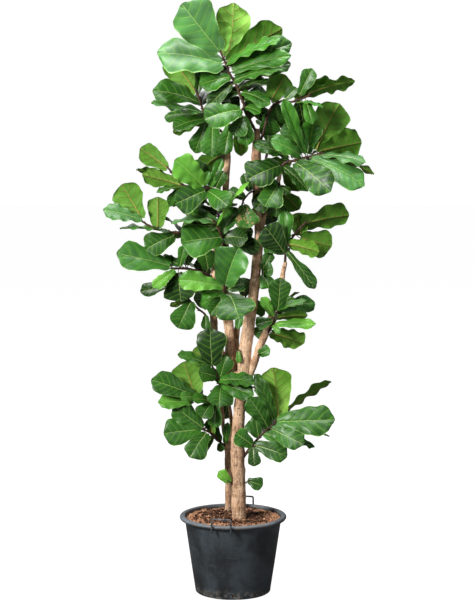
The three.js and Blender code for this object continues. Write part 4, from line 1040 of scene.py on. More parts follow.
def twig_shape(twig, rng):
    """The twig, swollen where leaves grew, and drawn out to the bud at its end."""
    centres, radii = smooth_course(twig, TWIG_STEP)
    steps = np.linalg.norm(np.diff(centres, axis=0), axis=1)
    travelled = np.concatenate([[0], steps.cumsum()])
    rings = np.sin(travelled * 2 * np.pi / RING_SPACING + rng.uniform(0, 6))
    radii = radii * (1 + 0.16 * np.maximum(rings, 0) ** 3)
    onward = unit(centres[-1] - centres[-3])
    bud = [centres[-1] + onward * reach for reach in (0.004, 0.009, 0.015, 0.021, 0.025)]
    bud_radii = radii[-1] * np.array([1.05, 0.98, 0.7, 0.36, 0.08])
    points, faces = sweep([*centres, *bud], [*radii, *bud_radii], TWIG_SIDES)
    return points, faces, [0.0] * len(points)


def scale_shape(centre, onward, radius, rng):
    """One dry pointed scale that stands on the twig beside a leaf."""
    out = unit(np.cross(onward, rng.normal(size=3)))
    lean = unit(onward * 1.2 + out * 0.6)
    path = [centre + out * radius * 0.8 + lean * reach for reach in (0, 0.004, 0.009, 0.013)]
    points, faces = sweep(path, [0.0022, 0.0024, 0.0014, 0.0002], 6)
    return points, faces, [0.1] * len(points)


def stalk_shape(row, twig):
    start, base, length, along, upper, _ = leaf_frame(row, twig)
    gap = np.linalg.norm(base - start)
    share = np.linspace(0, 1, 9)[:, None]
    first = start + (base - start) * 0.35 - upper * gap * 0.05
    second = base - along * gap * 0.4
    inside = base + along * length * 0.03
    path = (1 - share) ** 3 * start + 3 * (1 - share) ** 2 * share * first
    path = path + 3 * (1 - share) * share**2 * second + share**3 * inside
    thick = min(0.0029, 0.0012 + length * 0.009)
    radii = thick * np.interp(share[:, 0], [0, 0.15, 0.5, 0.9, 1], [1.35, 1.0, 0.85, 1.0, 0.8])
    points, faces = sweep(path, radii, STALK_SIDES)
    return points, faces, np.repeat(share[:, 0], STALK_SIDES).tolist()


def set_attribute(piece, name, kind, values):
    made = piece.data.attributes.new(name, kind, "POINT")
    field = "value" if kind == "FLOAT" else "vector"
    made.data.foreach_set(field, np.asarray(values, float).ravel())


def add_leaves(name, rows, twig, rng):
    shapes = [leaf_shape(row, twig, rng) for row in rows]
    points, faces = joined_shapes([(shape["points"], shape["faces"]) for shape in shapes])
    piece = new_piece("leaves_" + name, points, faces, LEAF_UPPER, LEAF_UNDER)
    sides = [side for shape in shapes for side in shape["lower"]]
    piece.data.polygons.foreach_set("material_index", sides)
    for field in ("blade", "share", "tone"):
        values = np.concatenate([shape[field] for shape in shapes])
        set_attribute(piece, field, "FLOAT_VECTOR", values)
    return piece


def add_stems(name, rows, twig, rng):
    centres, radii = smooth_course(twig, SCALE_SPACING)
    scales = [
        scale_shape(centre, unit(centres[i + 1] - centre), radii[i], rng)
        for i, centre in enumerate(centres[:-1])
        if i > len(centres) * 0.3
    ]
    shapes = [twig_shape(twig, rng), *scales, *[stalk_shape(row, twig) for row in rows]]
    points, faces = joined_shapes([shape[:2] for shape in shapes])
    piece = new_piece("stems_" + name, points, faces, STEM_SKIN)
    set_attribute(piece, "green", "FLOAT", [value for shape in shapes for value in shape[2]])
    return piece


def grow_shoot(name, twig, leaves):
    """One shoot: its twig with bud, scales and stalks, and its leaves, a row for each leaf()."""
    leaves = [leaf(*row) for row in leaves]
    rng = np.random.default_rng(list(name.encode()))
    for piece in (add_leaves(name, leaves, twig, rng), add_stems(name, leaves, twig, rng)):
        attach(piece, "root")
        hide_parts(name)


grow_shoot(
    "shoot_top",
    twig=[
        (10.2, 195, 0, 1.3), (7.4, 200, -1, 1.3), (5.2, 206, -2, 1.2), (3, 211, -2, 1.2),
        (1, 216, -2, 1.1), (-1.5, 220, -2, 1.1), (-3, 224, -2, 1), (-4.5, 227.5, -2, 0.9),
    ],
    leaves=[
        (-6, 229.5, -21.3, 248.6, 4, 19, 20, 8, 0.05, "pale"),
        (-4.5, 229.2, -8, 241, 0, 12, 172, 10, 0.03),
        (-2, 227.5, 0.5, 249, -7, 14.5, 170, 10, 0.04),
        (-2, 225, 20.5, 238.5, -5, 15, 150, 10, 0.03),
        (-2, 224, 20, 234, 4, 10, 65, 12, 0.05),
        (0, 223, 24.4, 232.4, -2, 10.5, 25, 10, 0.03),
        (0.5, 221, 24.2, 227.3, 5, 8, 30, 12, 0.04),
        (1.5, 218.5, 24, 224, -4, 8.5, 25, 10, 0.04),
        (1, 217, 21, 221.5, 6, 12, 55, 12, 0.08),
        (-5, 224, -31.5, 228.3, 5, 20, 42, 10, 0.06, "pale"),
        (-1.5, 218.5, -14, 215.2, 4, 9, 25, 12, 0.08),
        (-2.2, 221, -17, 221.3, -9, 9, 30, 10, 0.08, "painted_shade"),
        (2.4, 212.5, -9, 208, -5, 11, 45, 10, 0.08),
        (4.2, 209.5, 15, 211, -5, 10, 45, 10, 0.08),
        (4.8, 208, 9, 202.5, -5, 8, 20, 10, 0.06),
        (-1, 215, -10.6, 206, 4, 6.5, 20, 12, 0.08),
        (3, 214, 15.5, 215.5, 8, 7, 60, 20, 0.12),
        (4, 212, 15.5, 207, 7, 7, 35, 12, 0.1),
        (5.5, 206, 11.5, 203.5, 5, 4.5, 30, 12, 0.1),
        (-2.5, 222, 8, 231, -18, 10, 120, 10, 0.08, "painted_shade"),
        (-1.5, 219, -13, 226, -16, 10, 120, 10, 0.08, "painted_shade"),
        (2, 214, 12, 219, -18, 10, 110, 10, 0.08, "painted_shade"),
        (6.3, 205.8, 17, 199.5, -11, 9, 30, 10, 0.08, "painted_shade"),
        (2.6, 213.2, 14, 217, -12, 7, 30, 10, 0.08, "painted_shade"),
        (0.8, 216, -7, 212.5, -9, 7, 40, 10, 0.08, "painted_shade"),
    ],
)
grow_shoot(
    "shoot_upper_left",
    twig=[
        (-2, 193, 3, 1.1), (-5.5, 196.5, 1, 1.1), (-9, 198.5, 0, 1.1), (-11, 200, 0, 1),
        (-12.5, 205, -1, 1), (-15, 212, -1, 0.9),
    ],
    leaves=[
        (-15.5, 212.5, -27, 227.5, -3, 12.5, 165, 10, 0.05),
        (-14.8, 212, -12.5, 222.5, -2, 5, 20, 25, 0.05),
        (-14.5, 208, -33.5, 212.8, 3, 12, 42, 10, 0.06),
        (-13.2, 204, -34, 207.5, 12, 9, 62, 12, 0.02),
        (-12.3, 202.5, -28.5, 202, -5, 9, 50, 10, 0.08),
        (-12, 201, -25, 197, 5, 8, 40, 10, 0.1),
        (-11, 199.5, -25, 195.3, -5, 6.5, 125, 12, 0.1),
        (-8.5, 198, -9, 185.3, 4, 10.5, 10, 10, 0.08),
        (-11.3, 199.3, -15.8, 187, -3, 7, 15, 12, 0.08),
        (-12, 203, -19, 200, -15, 10, 110, 10, 0.08, "painted_shade"),
        (-13, 207, -10, 213, -14, 9, 120, 10, 0.08, "painted_shade"),
    ],
)
grow_shoot(
    "shoot_centre_top",
    twig=[(-1.8, 194.5, 3, 1.1), (0, 199, 0, 1.1), (2, 202, -3, 1), (3.8, 205, -5, 0.9)],
    leaves=[
        (3, 204.8, -12, 201, 9, 12, 28, 10, 0.06),
        (-1, 199, -3.5, 186.3, 5, 7, 15, 10, 0.1),
        (4.5, 201.5, 0.5, 194, 5, 8, 20, 12, 0.1),
        (4.5, 202, 6, 190, 2, 7, 15, 10, 0.08),
        (1.5, 198.5, 3.5, 185.7, -2, 6, 160, 10, 0.08),
        (1.5, 201.5, -2, 210.5, -8, 8, 20, 10, 0.08, "painted_shade"),
    ],
)

# ---- Upper right of the crown ----
# The limb on the right ends in two spreading shoots. Their outer leaves are seen from below,
# bright against the light, and the lower ones hang with their glossy side to the front.
grow_shoot(
    "shoot_upper_right",
    twig=[
        (10, 187, 0, 1.2), (12.8, 196, -1, 1.1), (15.4, 205, -2, 1), (20, 208.5, -3, 1),
        (25, 208.3, -3, 0.9), (31, 210.5, -3, 0.8),
    ],
    leaves=[
        (16, 209, 21.8, 219.5, -3, 11, 165, 10, 0.05),
        (26, 209.5, 41, 216, -5, 12, 128, 10, 0.05),
        (28, 211.5, 33, 222, 2, 7, 20, 15, 0.05),
        (32, 212, 50.8, 216.5, -2, 11.5, 122, 10, 0.05),
        (27, 207.8, 37.5, 205.8, 4, 6, 78, 15, 0.08),
        (30.5, 208.5, 33, 199, 4, 5.5, 25, 12, 0.1),
        (18, 208, 28, 213, -16, 10, 110, 10, 0.08, "painted_shade"),
        (14, 203.5, 16.5, 194.5, -5, 9, 15, 10, 0.06),
        (17.5, 207.3, 20, 197.5, -7, 8, 12, 10, 0.06),
        (22, 209.5, 26.5, 214, -6, 6.5, 20, 10, 0.08),
        (27.5, 208, 29.5, 196, -13, 11, 15, 10, 0.04, "painted_shade"),
    ],
)
grow_shoot(
    "shoot_right",
    twig=[
        (19.7, 177.5, 0.5, 1.2), (20.3, 181, -0.5, 1.2), (22, 183, -1, 1.2), (25, 183.7, -2, 1.1),
        (30, 185, -2, 1.1), (36, 186.5, -2, 1),
    ],
    leaves=[
        (37, 188, 53.8, 191.5, -4, 15, 150, 8, 0.05),
        (35, 188.5, 44.5, 207.5, -7, 15, 165, 8, 0.05),
        (37, 186, 55.5, 183, 3, 9, 65, 10, 0.05, "pale"),
        (38, 185.3, 59, 178, -2, 8, 100, 10, 0.05, "pale"),
        (33, 184.3, 55, 173, 7, 12.5, 38, 10, 0.06, "pale"),
        (26.5, 182.6, 41, 170.8, 13, 12.5, 18, 12, 0.06),
        (28, 186, 15.5, 192, 6, 9, 35, 12, 0.08, "fresh"),
        (23, 184.8, 8.5, 191.5, 3, 7, 45, 10, 0.08),
        (28.5, 187, 22, 199.5, -3, 8, 10, 10, 0.06),
        (30, 187.5, 21, 209.5, 6, 6.5, 10, 30, 0.04),
        (19.5, 181.7, 6.3, 176, 9, 13.5, 25, 10, 0.06),
        (21.3, 181, 31.5, 171, 4, 6.5, 35, 12, 0.08),
        (21.8, 180.5, 28, 171, -5, 9, 155, 8, 0.05),
        (26, 185, 36, 192, -17, 10, 115, 10, 0.08, "painted_shade"),
        (31, 184, 42, 181, -16, 10, 100, 10, 0.08, "painted_shade"),
        (33, 186.5, 44, 188, -13, 9, 110, 10, 0.08, "painted_shade"),
        (31, 187, 33.5, 200, -6, 9, 15, 10, 0.08),
    ],
)
grow_shoot(
    "shoot_right_inner",
    twig=[(17, 170, 1.5, 1), (18.7, 171.8, -1, 0.9), (19.3, 173.5, -3, 0.8)],
    leaves=[
        (18.6, 173.3, 13.3, 164.5, 8, 11, 20, 10, 0.08),
        (18, 171.3, 9, 163, 4, 8, 15, 10, 0.08),
        (19.4, 171, 27.8, 163.3, -3, 8, 145, 8, 0.05),
        (19.8, 173, 24, 170, 1, 4, 30, 15, 0.1),
        (19.3, 170.5, 23, 162.5, -11, 6, 30, 12, 0.06, "painted_shade"),
        (18.9, 173.7, 12.9, 174.9, 0, 6, 15, 10, 0.04),
        (19, 171.7, 17.8, 160.3, 0, 7.5, 8, 10, 0.04),
    ],
)

# ---- Left side of the crown ----
# Long shoots that reach out from the left limbs, with their youngest leaves at the tips. The
# short one by the trunk carries a leaf scarred by rubbing against the bark.
grow_shoot(
    "shoot_mid_left",
    twig=[
        (-2.9, 170, 3, 1.3), (-7, 171.5, -1, 1.2), (-11.5, 172.3, -3, 1.2), (-16, 172.8, -4, 1.1),
        (-21, 173.8, -4, 1), (-26.5, 180, -4, 0.8),
    ],
    leaves=[
        (-27.7, 180.8, -38.8, 189, -3, 9.5, 160, 8, 0.05),
        (-22, 173.6, -38, 178, -1, 9.5, 140, 10, 0.05),
        (-22.5, 176, -40.5, 179.8, -7, 7, 105, 10, 0.05),
        (-13, 173.3, -24.3, 184.3, 5, 12.5, 25, 12, 0.08, "young"),
        (-21.5, 172.8, -32, 170.4, 3, 5.5, 70, 10, 0.05),
        (-12, 171, -24.5, 165.8, 8, 11.5, 15, 10, 0.1),
        (-10, 170.8, -2, 164.8, 12, 9.5, 12, 10, 0.08),
        (-9, 173, -4.5, 184.7, 2, 4.5, 10, 25, 0.05),
        (-12, 173.5, -10, 179.5, 1, 3.5, 10, 25, 0.05),
        (-8, 173.5, -18, 183.5, -7, 8, 40, 10, 0.08),
        (-7, 172.7, -3.8, 179.5, 4, 5.5, 20, 12, 0.1),
        (-20.5, 172.5, -26.5, 164.7, -2, 5, 45, 35, 0.2),
        (-9, 172, -19.5, 163, -6, 10, 30, 10, 0.08),
        (-14, 172.3, -26, 166, -8, 8, 40, 10, 0.08, "painted_shade"),
    ],
)
grow_shoot(
    "shoot_scarred",
    twig=[(9.8, 171, 0, 0.9), (7.2, 170.5, -3, 0.8), (4.6, 167.5, -4, 0.7), (4, 166, -4, 0.7)],
    leaves=[
        (4.2, 165, 7, 155.6, 3, 10, 8, 10, 0.06, "scarred"),
        (4.8, 168.3, -2, 171.2, -2, 5.5, 25, 10, 0.06),
        (7, 171.2, 4.6, 178.5, -1, 5, 15, 10, 0.06),
    ],
)
grow_shoot(
    "shoot_far_left",
    twig=[
        (-7.3, 146.5, 9, 1.3), (-11, 150.5, 6, 1.2), (-16, 152.5, 3, 1.1), (-22, 153.4, 1, 1),
        (-28, 154.2, 0, 1), (-34, 156, -1, 0.9), (-38, 158.3, -1, 0.8),
    ],
    leaves=[
        (-38.5, 159.8, -46.7, 173.8, -3, 13, 165, 8, 0.05),
        (-38.8, 159, -54.5, 163.2, 4, 9, 45, 12, 0.06, "pale"),
        (-31.5, 156, -31.4, 168.7, -4, 9.5, 180, 10, 0.05),
        (-27.5, 154, -47.5, 155.2, 6, 8, 80, 12, 0.04),
        (-25, 152.2, -36.8, 146.4, 6, 10.5, 20, 10, 0.06),
        (-22, 154, -30, 160, -12, 9, 120, 10, 0.08, "painted_shade"),
        (-17, 153, -25, 151, -14, 9, 110, 10, 0.08, "painted_shade"),
    ],
)
grow_shoot(
    "shoot_low_left",
    twig=[(-8, 134.5, 9, 1.2), (-13, 136.7, 5, 1.2), (-19, 138.4, 2, 1.1), (-25, 138.6, -1, 0.9)],
    leaves=[
        (-27, 139.8, -49, 145, 4, 12.5, 26, 10, 0.05, "fresh"),
        (-24.8, 137.6, -34, 130.7, 6, 5.5, 30, 15, 0.04, "young"),
        (-26.5, 131.8, -39, 128.7, -4, 6, 15, 10, 0.02),
        (-23, 136.6, -22, 124.6, 2, 13, 8, 8, 0.08),
        (-22.5, 140, -29.5, 142.3, -3, 5.5, 35, 10, 0.08),
        (-19, 140, -18, 145, -1, 4, 20, 15, 0.1),
        (-22.3, 139.6, -20.3, 148.5, 1, 4.5, 15, 12, 0.08),
        (-10.6, 138.5, -12, 147, 3, 9, 10, 10, 0.06),
        (-20, 140, -28, 143, -14, 9, 110, 10, 0.08, "painted_shade"),
    ],
)

# ---- Middle of the crown ----
# Short shoots in front of the limbs and between them. The front ones hold large open leaves,
# and the inner ones small leaves that grew in the shade.
grow_shoot(
    "shoot_mid_front",
    twig=[
        (-3.4, 147.5, 3, 1.2), (-3.9, 150.5, -2, 1.2), (-4.8, 152.5, -6, 1.1),
        (-6.5, 156, -7, 0.9), (-7.8, 158, -7, 0.8),
    ],
    leaves=[
        (-5.2, 151.6, -21.9, 149.5, 6, 15.5, 25, 10, 0.06),
        (-3.8, 151.7, 6.2, 150.8, 3, 9.5, 25, 8, 0.08),
        (-3.3, 150.3, 11, 146.6, 2, 7.5, 35, 10, 0.08),
        (-8.3, 157.3, -26, 157.3, 5, 7, 75, 15, 0.08, "fresh"),
        (-6.2, 157.3, 6.9, 174.8, 1, 7, 25, 15, 0.05, "young", -80),
        (-4.6, 153.5, 1.8, 164, -6, 8, 20, 10, 0.08),
        (-7, 158, -19, 161.5, -6, 8, 35, 10, 0.08),
        (-7, 156.5, -22, 154.3, -4, 8, 30, 10, 0.06),
        (-3.8, 151.7, 8.4, 154.6, -2, 7, 25, 10, 0.06),
    ],
)
grow_shoot(
    "shoot_centre_front",
    twig=[
        (-2.5, 124, 3, 1.3), (-2.9, 126.7, -3, 1.2), (-3, 128.8, -7, 1.1), (-3.6, 131, -8, 0.9),
    ],
    leaves=[
        (-3.2, 131.8, 2.5, 147.5, 3, 17, 20, 28, 0.05, "fresh"),
        (-5, 130.8, -23, 133.9, 4, 8.8, 25, 12, 0.08, "young"),
        (-4.5, 128.5, -13.5, 127.7, 3, 7, 40, 10, 0.1),
        (-1.7, 127.6, 2.7, 117, 14, 17, 62, 8, 0.1),
        (-4.2, 126, -9.7, 118.8, 4, 6.5, 15, 12, 0.08),
        (-4, 127.5, -13.5, 123, -6, 7, 30, 10, 0.06),
        (-2.4, 129.6, 4.8, 132.6, -1, 7, 20, 10, 0.08),
    ],
)
grow_shoot(
    "shoot_inner",
    twig=[(5.2, 122, 5, 0.9), (5.5, 125, 4, 0.8), (5.2, 127, 3, 0.7)],
    leaves=[
        (4.9, 127, 4, 134.7, 1, 7, 15, 10, 0.08),
        (6, 125.7, 13.3, 119, -4, 7, 35, 10, 0.08),
        (4.3, 124.2, 1.9, 112.8, 4, 3.5, 20, 12, 0.04, "fresh"),
        (4.5, 127.3, -3, 137, -14, 9, 120, 10, 0.08, "painted_shade"),
    ],
)
grow_shoot(
    "shoot_limb_left",
    twig=[
        (-11, 116.9, 5, 0.9), (-12, 119.3, 3, 0.9), (-15, 121.7, 2, 0.8), (-18.3, 125.2, 1, 0.7),
    ],
    leaves=[
        (-17.8, 124.4, -23.3, 113.3, 3, 11, 8, 8, 0.08),
        (-19, 125, -26.5, 122.4, -3, 4.5, 130, 8, 0.06),
        (-11.6, 118.5, -11.6, 112.5, 3, 4.2, 10, 12, 0.1),
    ],
)
grow_shoot(
    "shoot_inner_small",
    twig=[(2.7, 104.7, 2.8, 0.5), (1.8, 104.5, -2, 0.5), (2.2, 104, -5.6, 0.45)],
    leaves=[
        (2.3, 103.3, 2.4, 98.4, 1, 2.6, 10, 15, 0.06, "young"),
    ],
)

# ---- Back of the crown ----
# Shoots that face away, behind the limbs. Their leaves carry painted shade, dark green for the
# shade inside the crown, and fill the space between the shoots in front.
grow_shoot(
    "shoot_back_left_high",
    twig=[(-2.8, 175, 3, 1.2), (-3.5, 181, 9, 1.1), (-4.5, 187, 15, 1), (-4, 191, 18, 0.8)],
    leaves=[
        (-5, 190, -14, 194, 5, 11, 30, 10, 0.08, "painted_shade"),
        (-3.5, 192, 4, 198, -4, 11, 110, 10, 0.08, "painted_shade"),
        (-3.5, 189.5, 4, 193, -8, 10, 100, 10, 0.08, "painted_shade"),
        (-5, 186, -13, 180, -9, 11, 130, 10, 0.08, "painted_shade"),
        (-4.5, 190, -7, 184, -18, 11, 120, 10, 0.08, "painted_shade"),
    ],
)
grow_shoot(
    "shoot_back_right_high",
    twig=[(10, 174.5, 0, 1.2), (13, 180.5, 7, 1.1), (14, 186, 13, 1), (15, 190, 16, 0.8)],
    leaves=[
        (16, 190.5, 25, 193, -4, 11, 110, 10, 0.08, "painted_shade"),
        (14.5, 192, 13, 200, -8, 11, 120, 10, 0.08, "painted_shade"),
        (13.5, 189, 5, 193.5, -8, 8, 110, 10, 0.08, "painted_shade"),
        (15, 184, 23, 180.5, -8, 10, 130, 10, 0.08, "painted_shade"),
        (13.5, 182, 15, 176, -10, 9, 140, 10, 0.08, "painted_shade"),
        (14.5, 188, 18, 186, -18, 11, 110, 10, 0.08, "painted_shade"),
    ],
)
grow_shoot(
    "shoot_back_right_mid",
    twig=[(10.2, 162, 0, 1.1), (12.5, 165, 6, 1), (14.5, 168, 11, 0.8)],
    leaves=[
        (15.3, 168.5, 23, 172.5, -3, 9, 60, 10, 0.08, "painted_shade"),
        (13.8, 166.3, 17, 157.5, -5, 9, 25, 10, 0.08, "painted_shade"),
        (12.2, 165.2, 8, 157.5, -5, 8, 30, 10, 0.08, "painted_shade"),
        (14, 168.8, 10.5, 175.5, -5, 9, 60, 10, 0.08, "painted_shade"),
        (14.8, 167, 24, 164.5, -8, 9, 40, 10, 0.08, "painted_shade"),
    ],
)
grow_shoot(
    "shoot_back_mid",
    twig=[(-3.2, 155, 3, 1.2), (-5, 159, 9, 1.1), (-7, 163, 15, 0.9)],
    leaves=[
        (-8, 163.5, -16, 168, -3, 10, 110, 10, 0.08, "painted_shade"),
        (-6.5, 165, -5, 173, -6, 10, 120, 10, 0.08, "painted_shade"),
        (-5.5, 161.5, 1.5, 165, -5, 9, 110, 10, 0.08, "painted_shade"),
        (-7.5, 161, -14, 158.5, -8, 9, 130, 10, 0.08, "painted_shade"),
        (-5.5, 159.5, -3, 154.5, -10, 9, 130, 10, 0.08, "painted_shade"),
        (-7, 163.5, -9, 161, -18, 10, 110, 10, 0.08, "painted_shade"),
        (-7.6, 162.3, -20, 161.8, -1, 8, 30, 10, 0.08, "painted_shade"),
    ],
)
grow_shoot(
    "shoot_back_low",
    twig=[(-8, 128.5, 9, 1.2), (-9.5, 131, 14, 1.1), (-11.5, 133, 20, 0.9)],
    leaves=[
        (-12.5, 133.5, -20, 135, 1, 9, 80, 10, 0.08, "painted_shade"),
        (-11, 132, -16, 128, -8, 9, 130, 10, 0.08, "painted_shade"),
        (-10.5, 134, -5.5, 141.5, -6, 10, 120, 10, 0.08, "painted_shade"),
        (-10, 130.5, -4.5, 128.5, -6, 9, 110, 10, 0.08, "painted_shade"),
        (-11.8, 134, -18.5, 141, -10, 9, 110, 10, 0.08, "painted_shade"),
        (-9.6, 130.8, -14.5, 122.5, -4, 8, 30, 10, 0.08, "painted_shade"),
        (-10.8, 133.3, -14.5, 143, 2, 7, 25, 10, 0.08, "painted_shade"),
    ],
)

# ---- Right-hand limb ----
# Shoots along the limb that leans out to the right: one at its end and several lower down,
# with thin young leaves that hold themselves level.
grow_shoot(
    "shoot_limb_right",
    twig=[
        (9.2, 129.8, -1.2, 1), (11.5, 131, -3, 0.9), (12.2, 134, -4, 0.8), (12.3, 137, -4, 0.7),
    ],
    leaves=[
        (12.8, 137.3, 17, 138.2, 2, 6.5, 25, 12, 0.08),
        (12.5, 135.8, 15.3, 130.3, 3, 6.8, 15, 10, 0.08),
        (12.4, 138, 16.5, 145, -1, 5, 20, 12, 0.08),
    ],
)
grow_shoot(
    "shoot_right_low",
    twig=[
        (21.8, 138, -6, 1.2), (22, 143, -6, 1.1), (22.6, 147.5, -6, 1.1), (24.2, 150.5, -4.5, 1),
        (27, 154.3, -3, 0.9), (30, 157.4, -3, 0.8),
    ],
    leaves=[
        (29, 157, 48.8, 161, -3, 14, 140, 10, 0.05),
        (28.5, 151.3, 41.5, 147.8, -2, 13.5, 162, 8, 0.05),
        (28.6, 153, 26.8, 162, -3, 10, 175, 8, 0.05),
        (23.6, 148.8, 36.2, 145.6, 4, 9, 150, 12, 0.05, "young"),
        (22.5, 149.3, 21.7, 163, -1, 7, 5, 22, 0.06),
        (21.3, 145.5, 13.3, 156.3, 5, 12, 15, 10, 0.04),
        (22.9, 145.3, 34.6, 130, 4, 6, 40, 12, 0.03),
        (22, 145.5, 16, 149, -14, 9, 110, 10, 0.08, "painted_shade"),
        (21.6, 145, 13, 147.5, -4, 6.5, 30, 10, 0.08),
        (25, 152, 34, 152, -15, 9, 110, 10, 0.08, "painted_shade"),
    ],
)
grow_shoot(
    "shoot_limb_mid",
    twig=[
        (14.2, 110.5, -4.8, 1.1), (16.5, 114, -7, 1), (17.6, 117.5, -8, 0.9),
        (18.7, 120.5, -8, 0.8),
    ],
    leaves=[
        (16.2, 111.3, 30, 106.6, -3, 13, 138, 10, 0.03),
        (18, 114.6, 35, 115, 3, 5.5, 45, 12, 0.06, "young"),
        (18.6, 117.8, 31.5, 118.4, -2, 8, 130, 10, 0.05),
        (18.8, 121, 20, 134.7, 3, 9.5, 5, 12, 0.06),
        (17, 118.5, 11.8, 126.3, 3, 4.5, 15, 12, 0.08, "young"),
        (19.4, 121, 31, 125, 3, 4.5, 65, 15, 0.06),
        (20, 121.6, 34.5, 124, -6, 8, 20, 10, 0.04, "fresh"),
        (19.2, 121.3, 26, 126, -2, 5, 35, 12, 0.08, "young"),
        (19, 122, 28, 128.3, -8, 5, 120, 10, 0.08, "painted_shade"),
        (16.4, 116.3, 9.5, 114.7, 1, 6, 30, 12, 0.08),
        (16.6, 114.5, 19.8, 111, 4, 2.6, 20, 12, 0.1, "young"),
    ],
)
grow_shoot(
    "shoot_limb_behind",
    twig=[(13.8, 110.3, -4.6, 0.9), (14.6, 112, -1, 0.9), (17, 115, 4, 0.8), (19, 118, 8, 0.7)],
    leaves=[
        (14, 112.7, 9, 110.3, 1, 6, 30, 10, 0.08, "painted_shade"),
        (17.5, 114.5, 24, 114.5, -4, 8, 110, 10, 0.08, "painted_shade"),
        (19.6, 119, 23, 127, -3, 9, 120, 10, 0.08, "painted_shade"),
        (19.7, 118, 25, 120, -10, 9, 100, 10, 0.08, "painted_shade"),
    ],
)
grow_shoot(
    "shoot_limb_foot",
    twig=[(10.4, 101.5, -4.2, 0.6), (10.9, 102, -6.3, 0.6)],
    leaves=[
        (11, 102.3, 15.7, 104.3, 2, 5, 12, 12, 0.06),
    ],
)

# ---- Thin trunk's shoots ----
# The slim back trunk carries the lowest leaves on the left, on four dark side shoots that come
# round to the front.
grow_shoot(
    "shoot_stem_upper",
    twig=[(-5.3, 87.5, 1.5, 1.1), (-5.9, 91, -2, 1), (-7.2, 94.2, -4, 0.9), (-8.8, 97, -4, 0.8)],
    leaves=[
        (-9, 97.6, -9.5, 113.3, 2, 13, 6, 12, 0.06),
        (-9.4, 98.3, -17, 104, -4, 9.5, 165, 8, 0.06),
        (-9.6, 97.4, -23.5, 101.8, 5, 7, 60, 12, 0.05),
        (-7.4, 92.8, -14.5, 94.6, 6, 7.8, 18, 10, 0.08),
        (-5.3, 92.8, -2.5, 101.7, 1, 8, 8, 10, 0.08),
        (-5.4, 91, 9, 89.3, 7, 8, 45, 10, 0.15),
        (-4.9, 88.6, -6, 79.7, 7, 11.5, 20, 10, 0.1),
        (-4.6, 89.6, 8.8, 84.5, 9, 7.5, 20, 10, 0.06),
        (-7, 95.5, -11, 92, -14, 8, 110, 10, 0.08, "painted_shade"),
    ],
)
grow_shoot(
    "shoot_stem_left",
    twig=[(-4.8, 80, 5, 1.1), (-8, 81.5, 2, 1), (-12, 82.3, 0, 0.9), (-16.3, 83.5, -1, 0.8)],
    leaves=[
        (-16.2, 84.9, -20.8, 99, -3, 14, 168, 8, 0.05),
        (-16.8, 84.6, -34.7, 91.2, 4, 10.3, 25, 10, 0.05),
        (-17.2, 82, -31.8, 81.6, 2, 6.8, 30, 12, 0.05, "young"),
        (-16, 83.8, -22.6, 84.4, 5, 4.3, 20, 12, 0.1, "fresh"),
        (-10.3, 82.2, -17.5, 82.7, 6, 5, 28, 12, 0.1),
        (-9.5, 81.3, -13.2, 74.7, 5, 8, 12, 12, 0.08),
        (-7, 80.6, -7.9, 70.6, 3, 6, 10, 10, 0.06),
        (-14, 83.5, -20, 88, -15, 9, 110, 10, 0.08, "painted_shade"),
        (-7, 81.8, -4, 88, -13, 9, 110, 10, 0.08, "painted_shade"),
    ],
)
grow_shoot(
    "shoot_stem_low",
    twig=[
        (-2.6, 62.3, 10, 1), (-5.5, 64.5, 6, 0.9), (-8, 67.3, 2, 0.9), (-10.5, 68.9, 0, 0.8),
        (-13.2, 70, -1, 0.8),
    ],
    leaves=[
        (-13.2, 70.7, -25.3, 80, 1, 10, 20, 8, 0.05),
        (-13.9, 69.6, -29.5, 68, 4, 11.8, 22, 10, 0.05),
        (-11.5, 68.2, -18.5, 57.8, 6, 10, 15, 10, 0.08),
        (-8.9, 66.5, -15.6, 58.2, -1, 5.5, 20, 10, 0.08),
        (-5.6, 64, -5.1, 60.2, 2, 3.4, 20, 15, 0.25),
        (-8.5, 68, -10.7, 74.2, -3, 5, 165, 10, 0.06),
        (-12, 70, -18, 68.5, -15, 9, 110, 10, 0.08, "painted_shade"),
        (-3.4, 64, -2.2, 73, 5, 3.4, 12, 12, 0.04),
        (-5.6, 64.7, -9.8, 71.8, -2, 5, 30, 10, 0.08),
    ],
)
grow_shoot(
    "shoot_stem_top",
    twig=[(-1.6, 80.5, 11, 1), (-1.5, 84, 14, 0.9), (-1.5, 87, 18, 0.8)],
    leaves=[
        (-0.8, 87.6, 5, 91.5, 1, 8, 30, 10, 0.08, "painted_shade"),
        (-2.4, 88.3, -6, 95.3, 1, 8, 30, 10, 0.08, "painted_shade"),
        (-2, 85.5, -8.5, 85, -6, 9, 120, 10, 0.08, "painted_shade"),
        (-1, 84.5, 3.5, 86, -9, 9, 120, 10, 0.08, "painted_shade"),
        (-1.5, 87.5, -3, 88, -16, 10, 110, 10, 0.08, "painted_shade"),
        (-1.7, 82.5, -3.6, 74.5, -3, 6, 20, 10, 0.08, "painted_shade"),
    ],
)

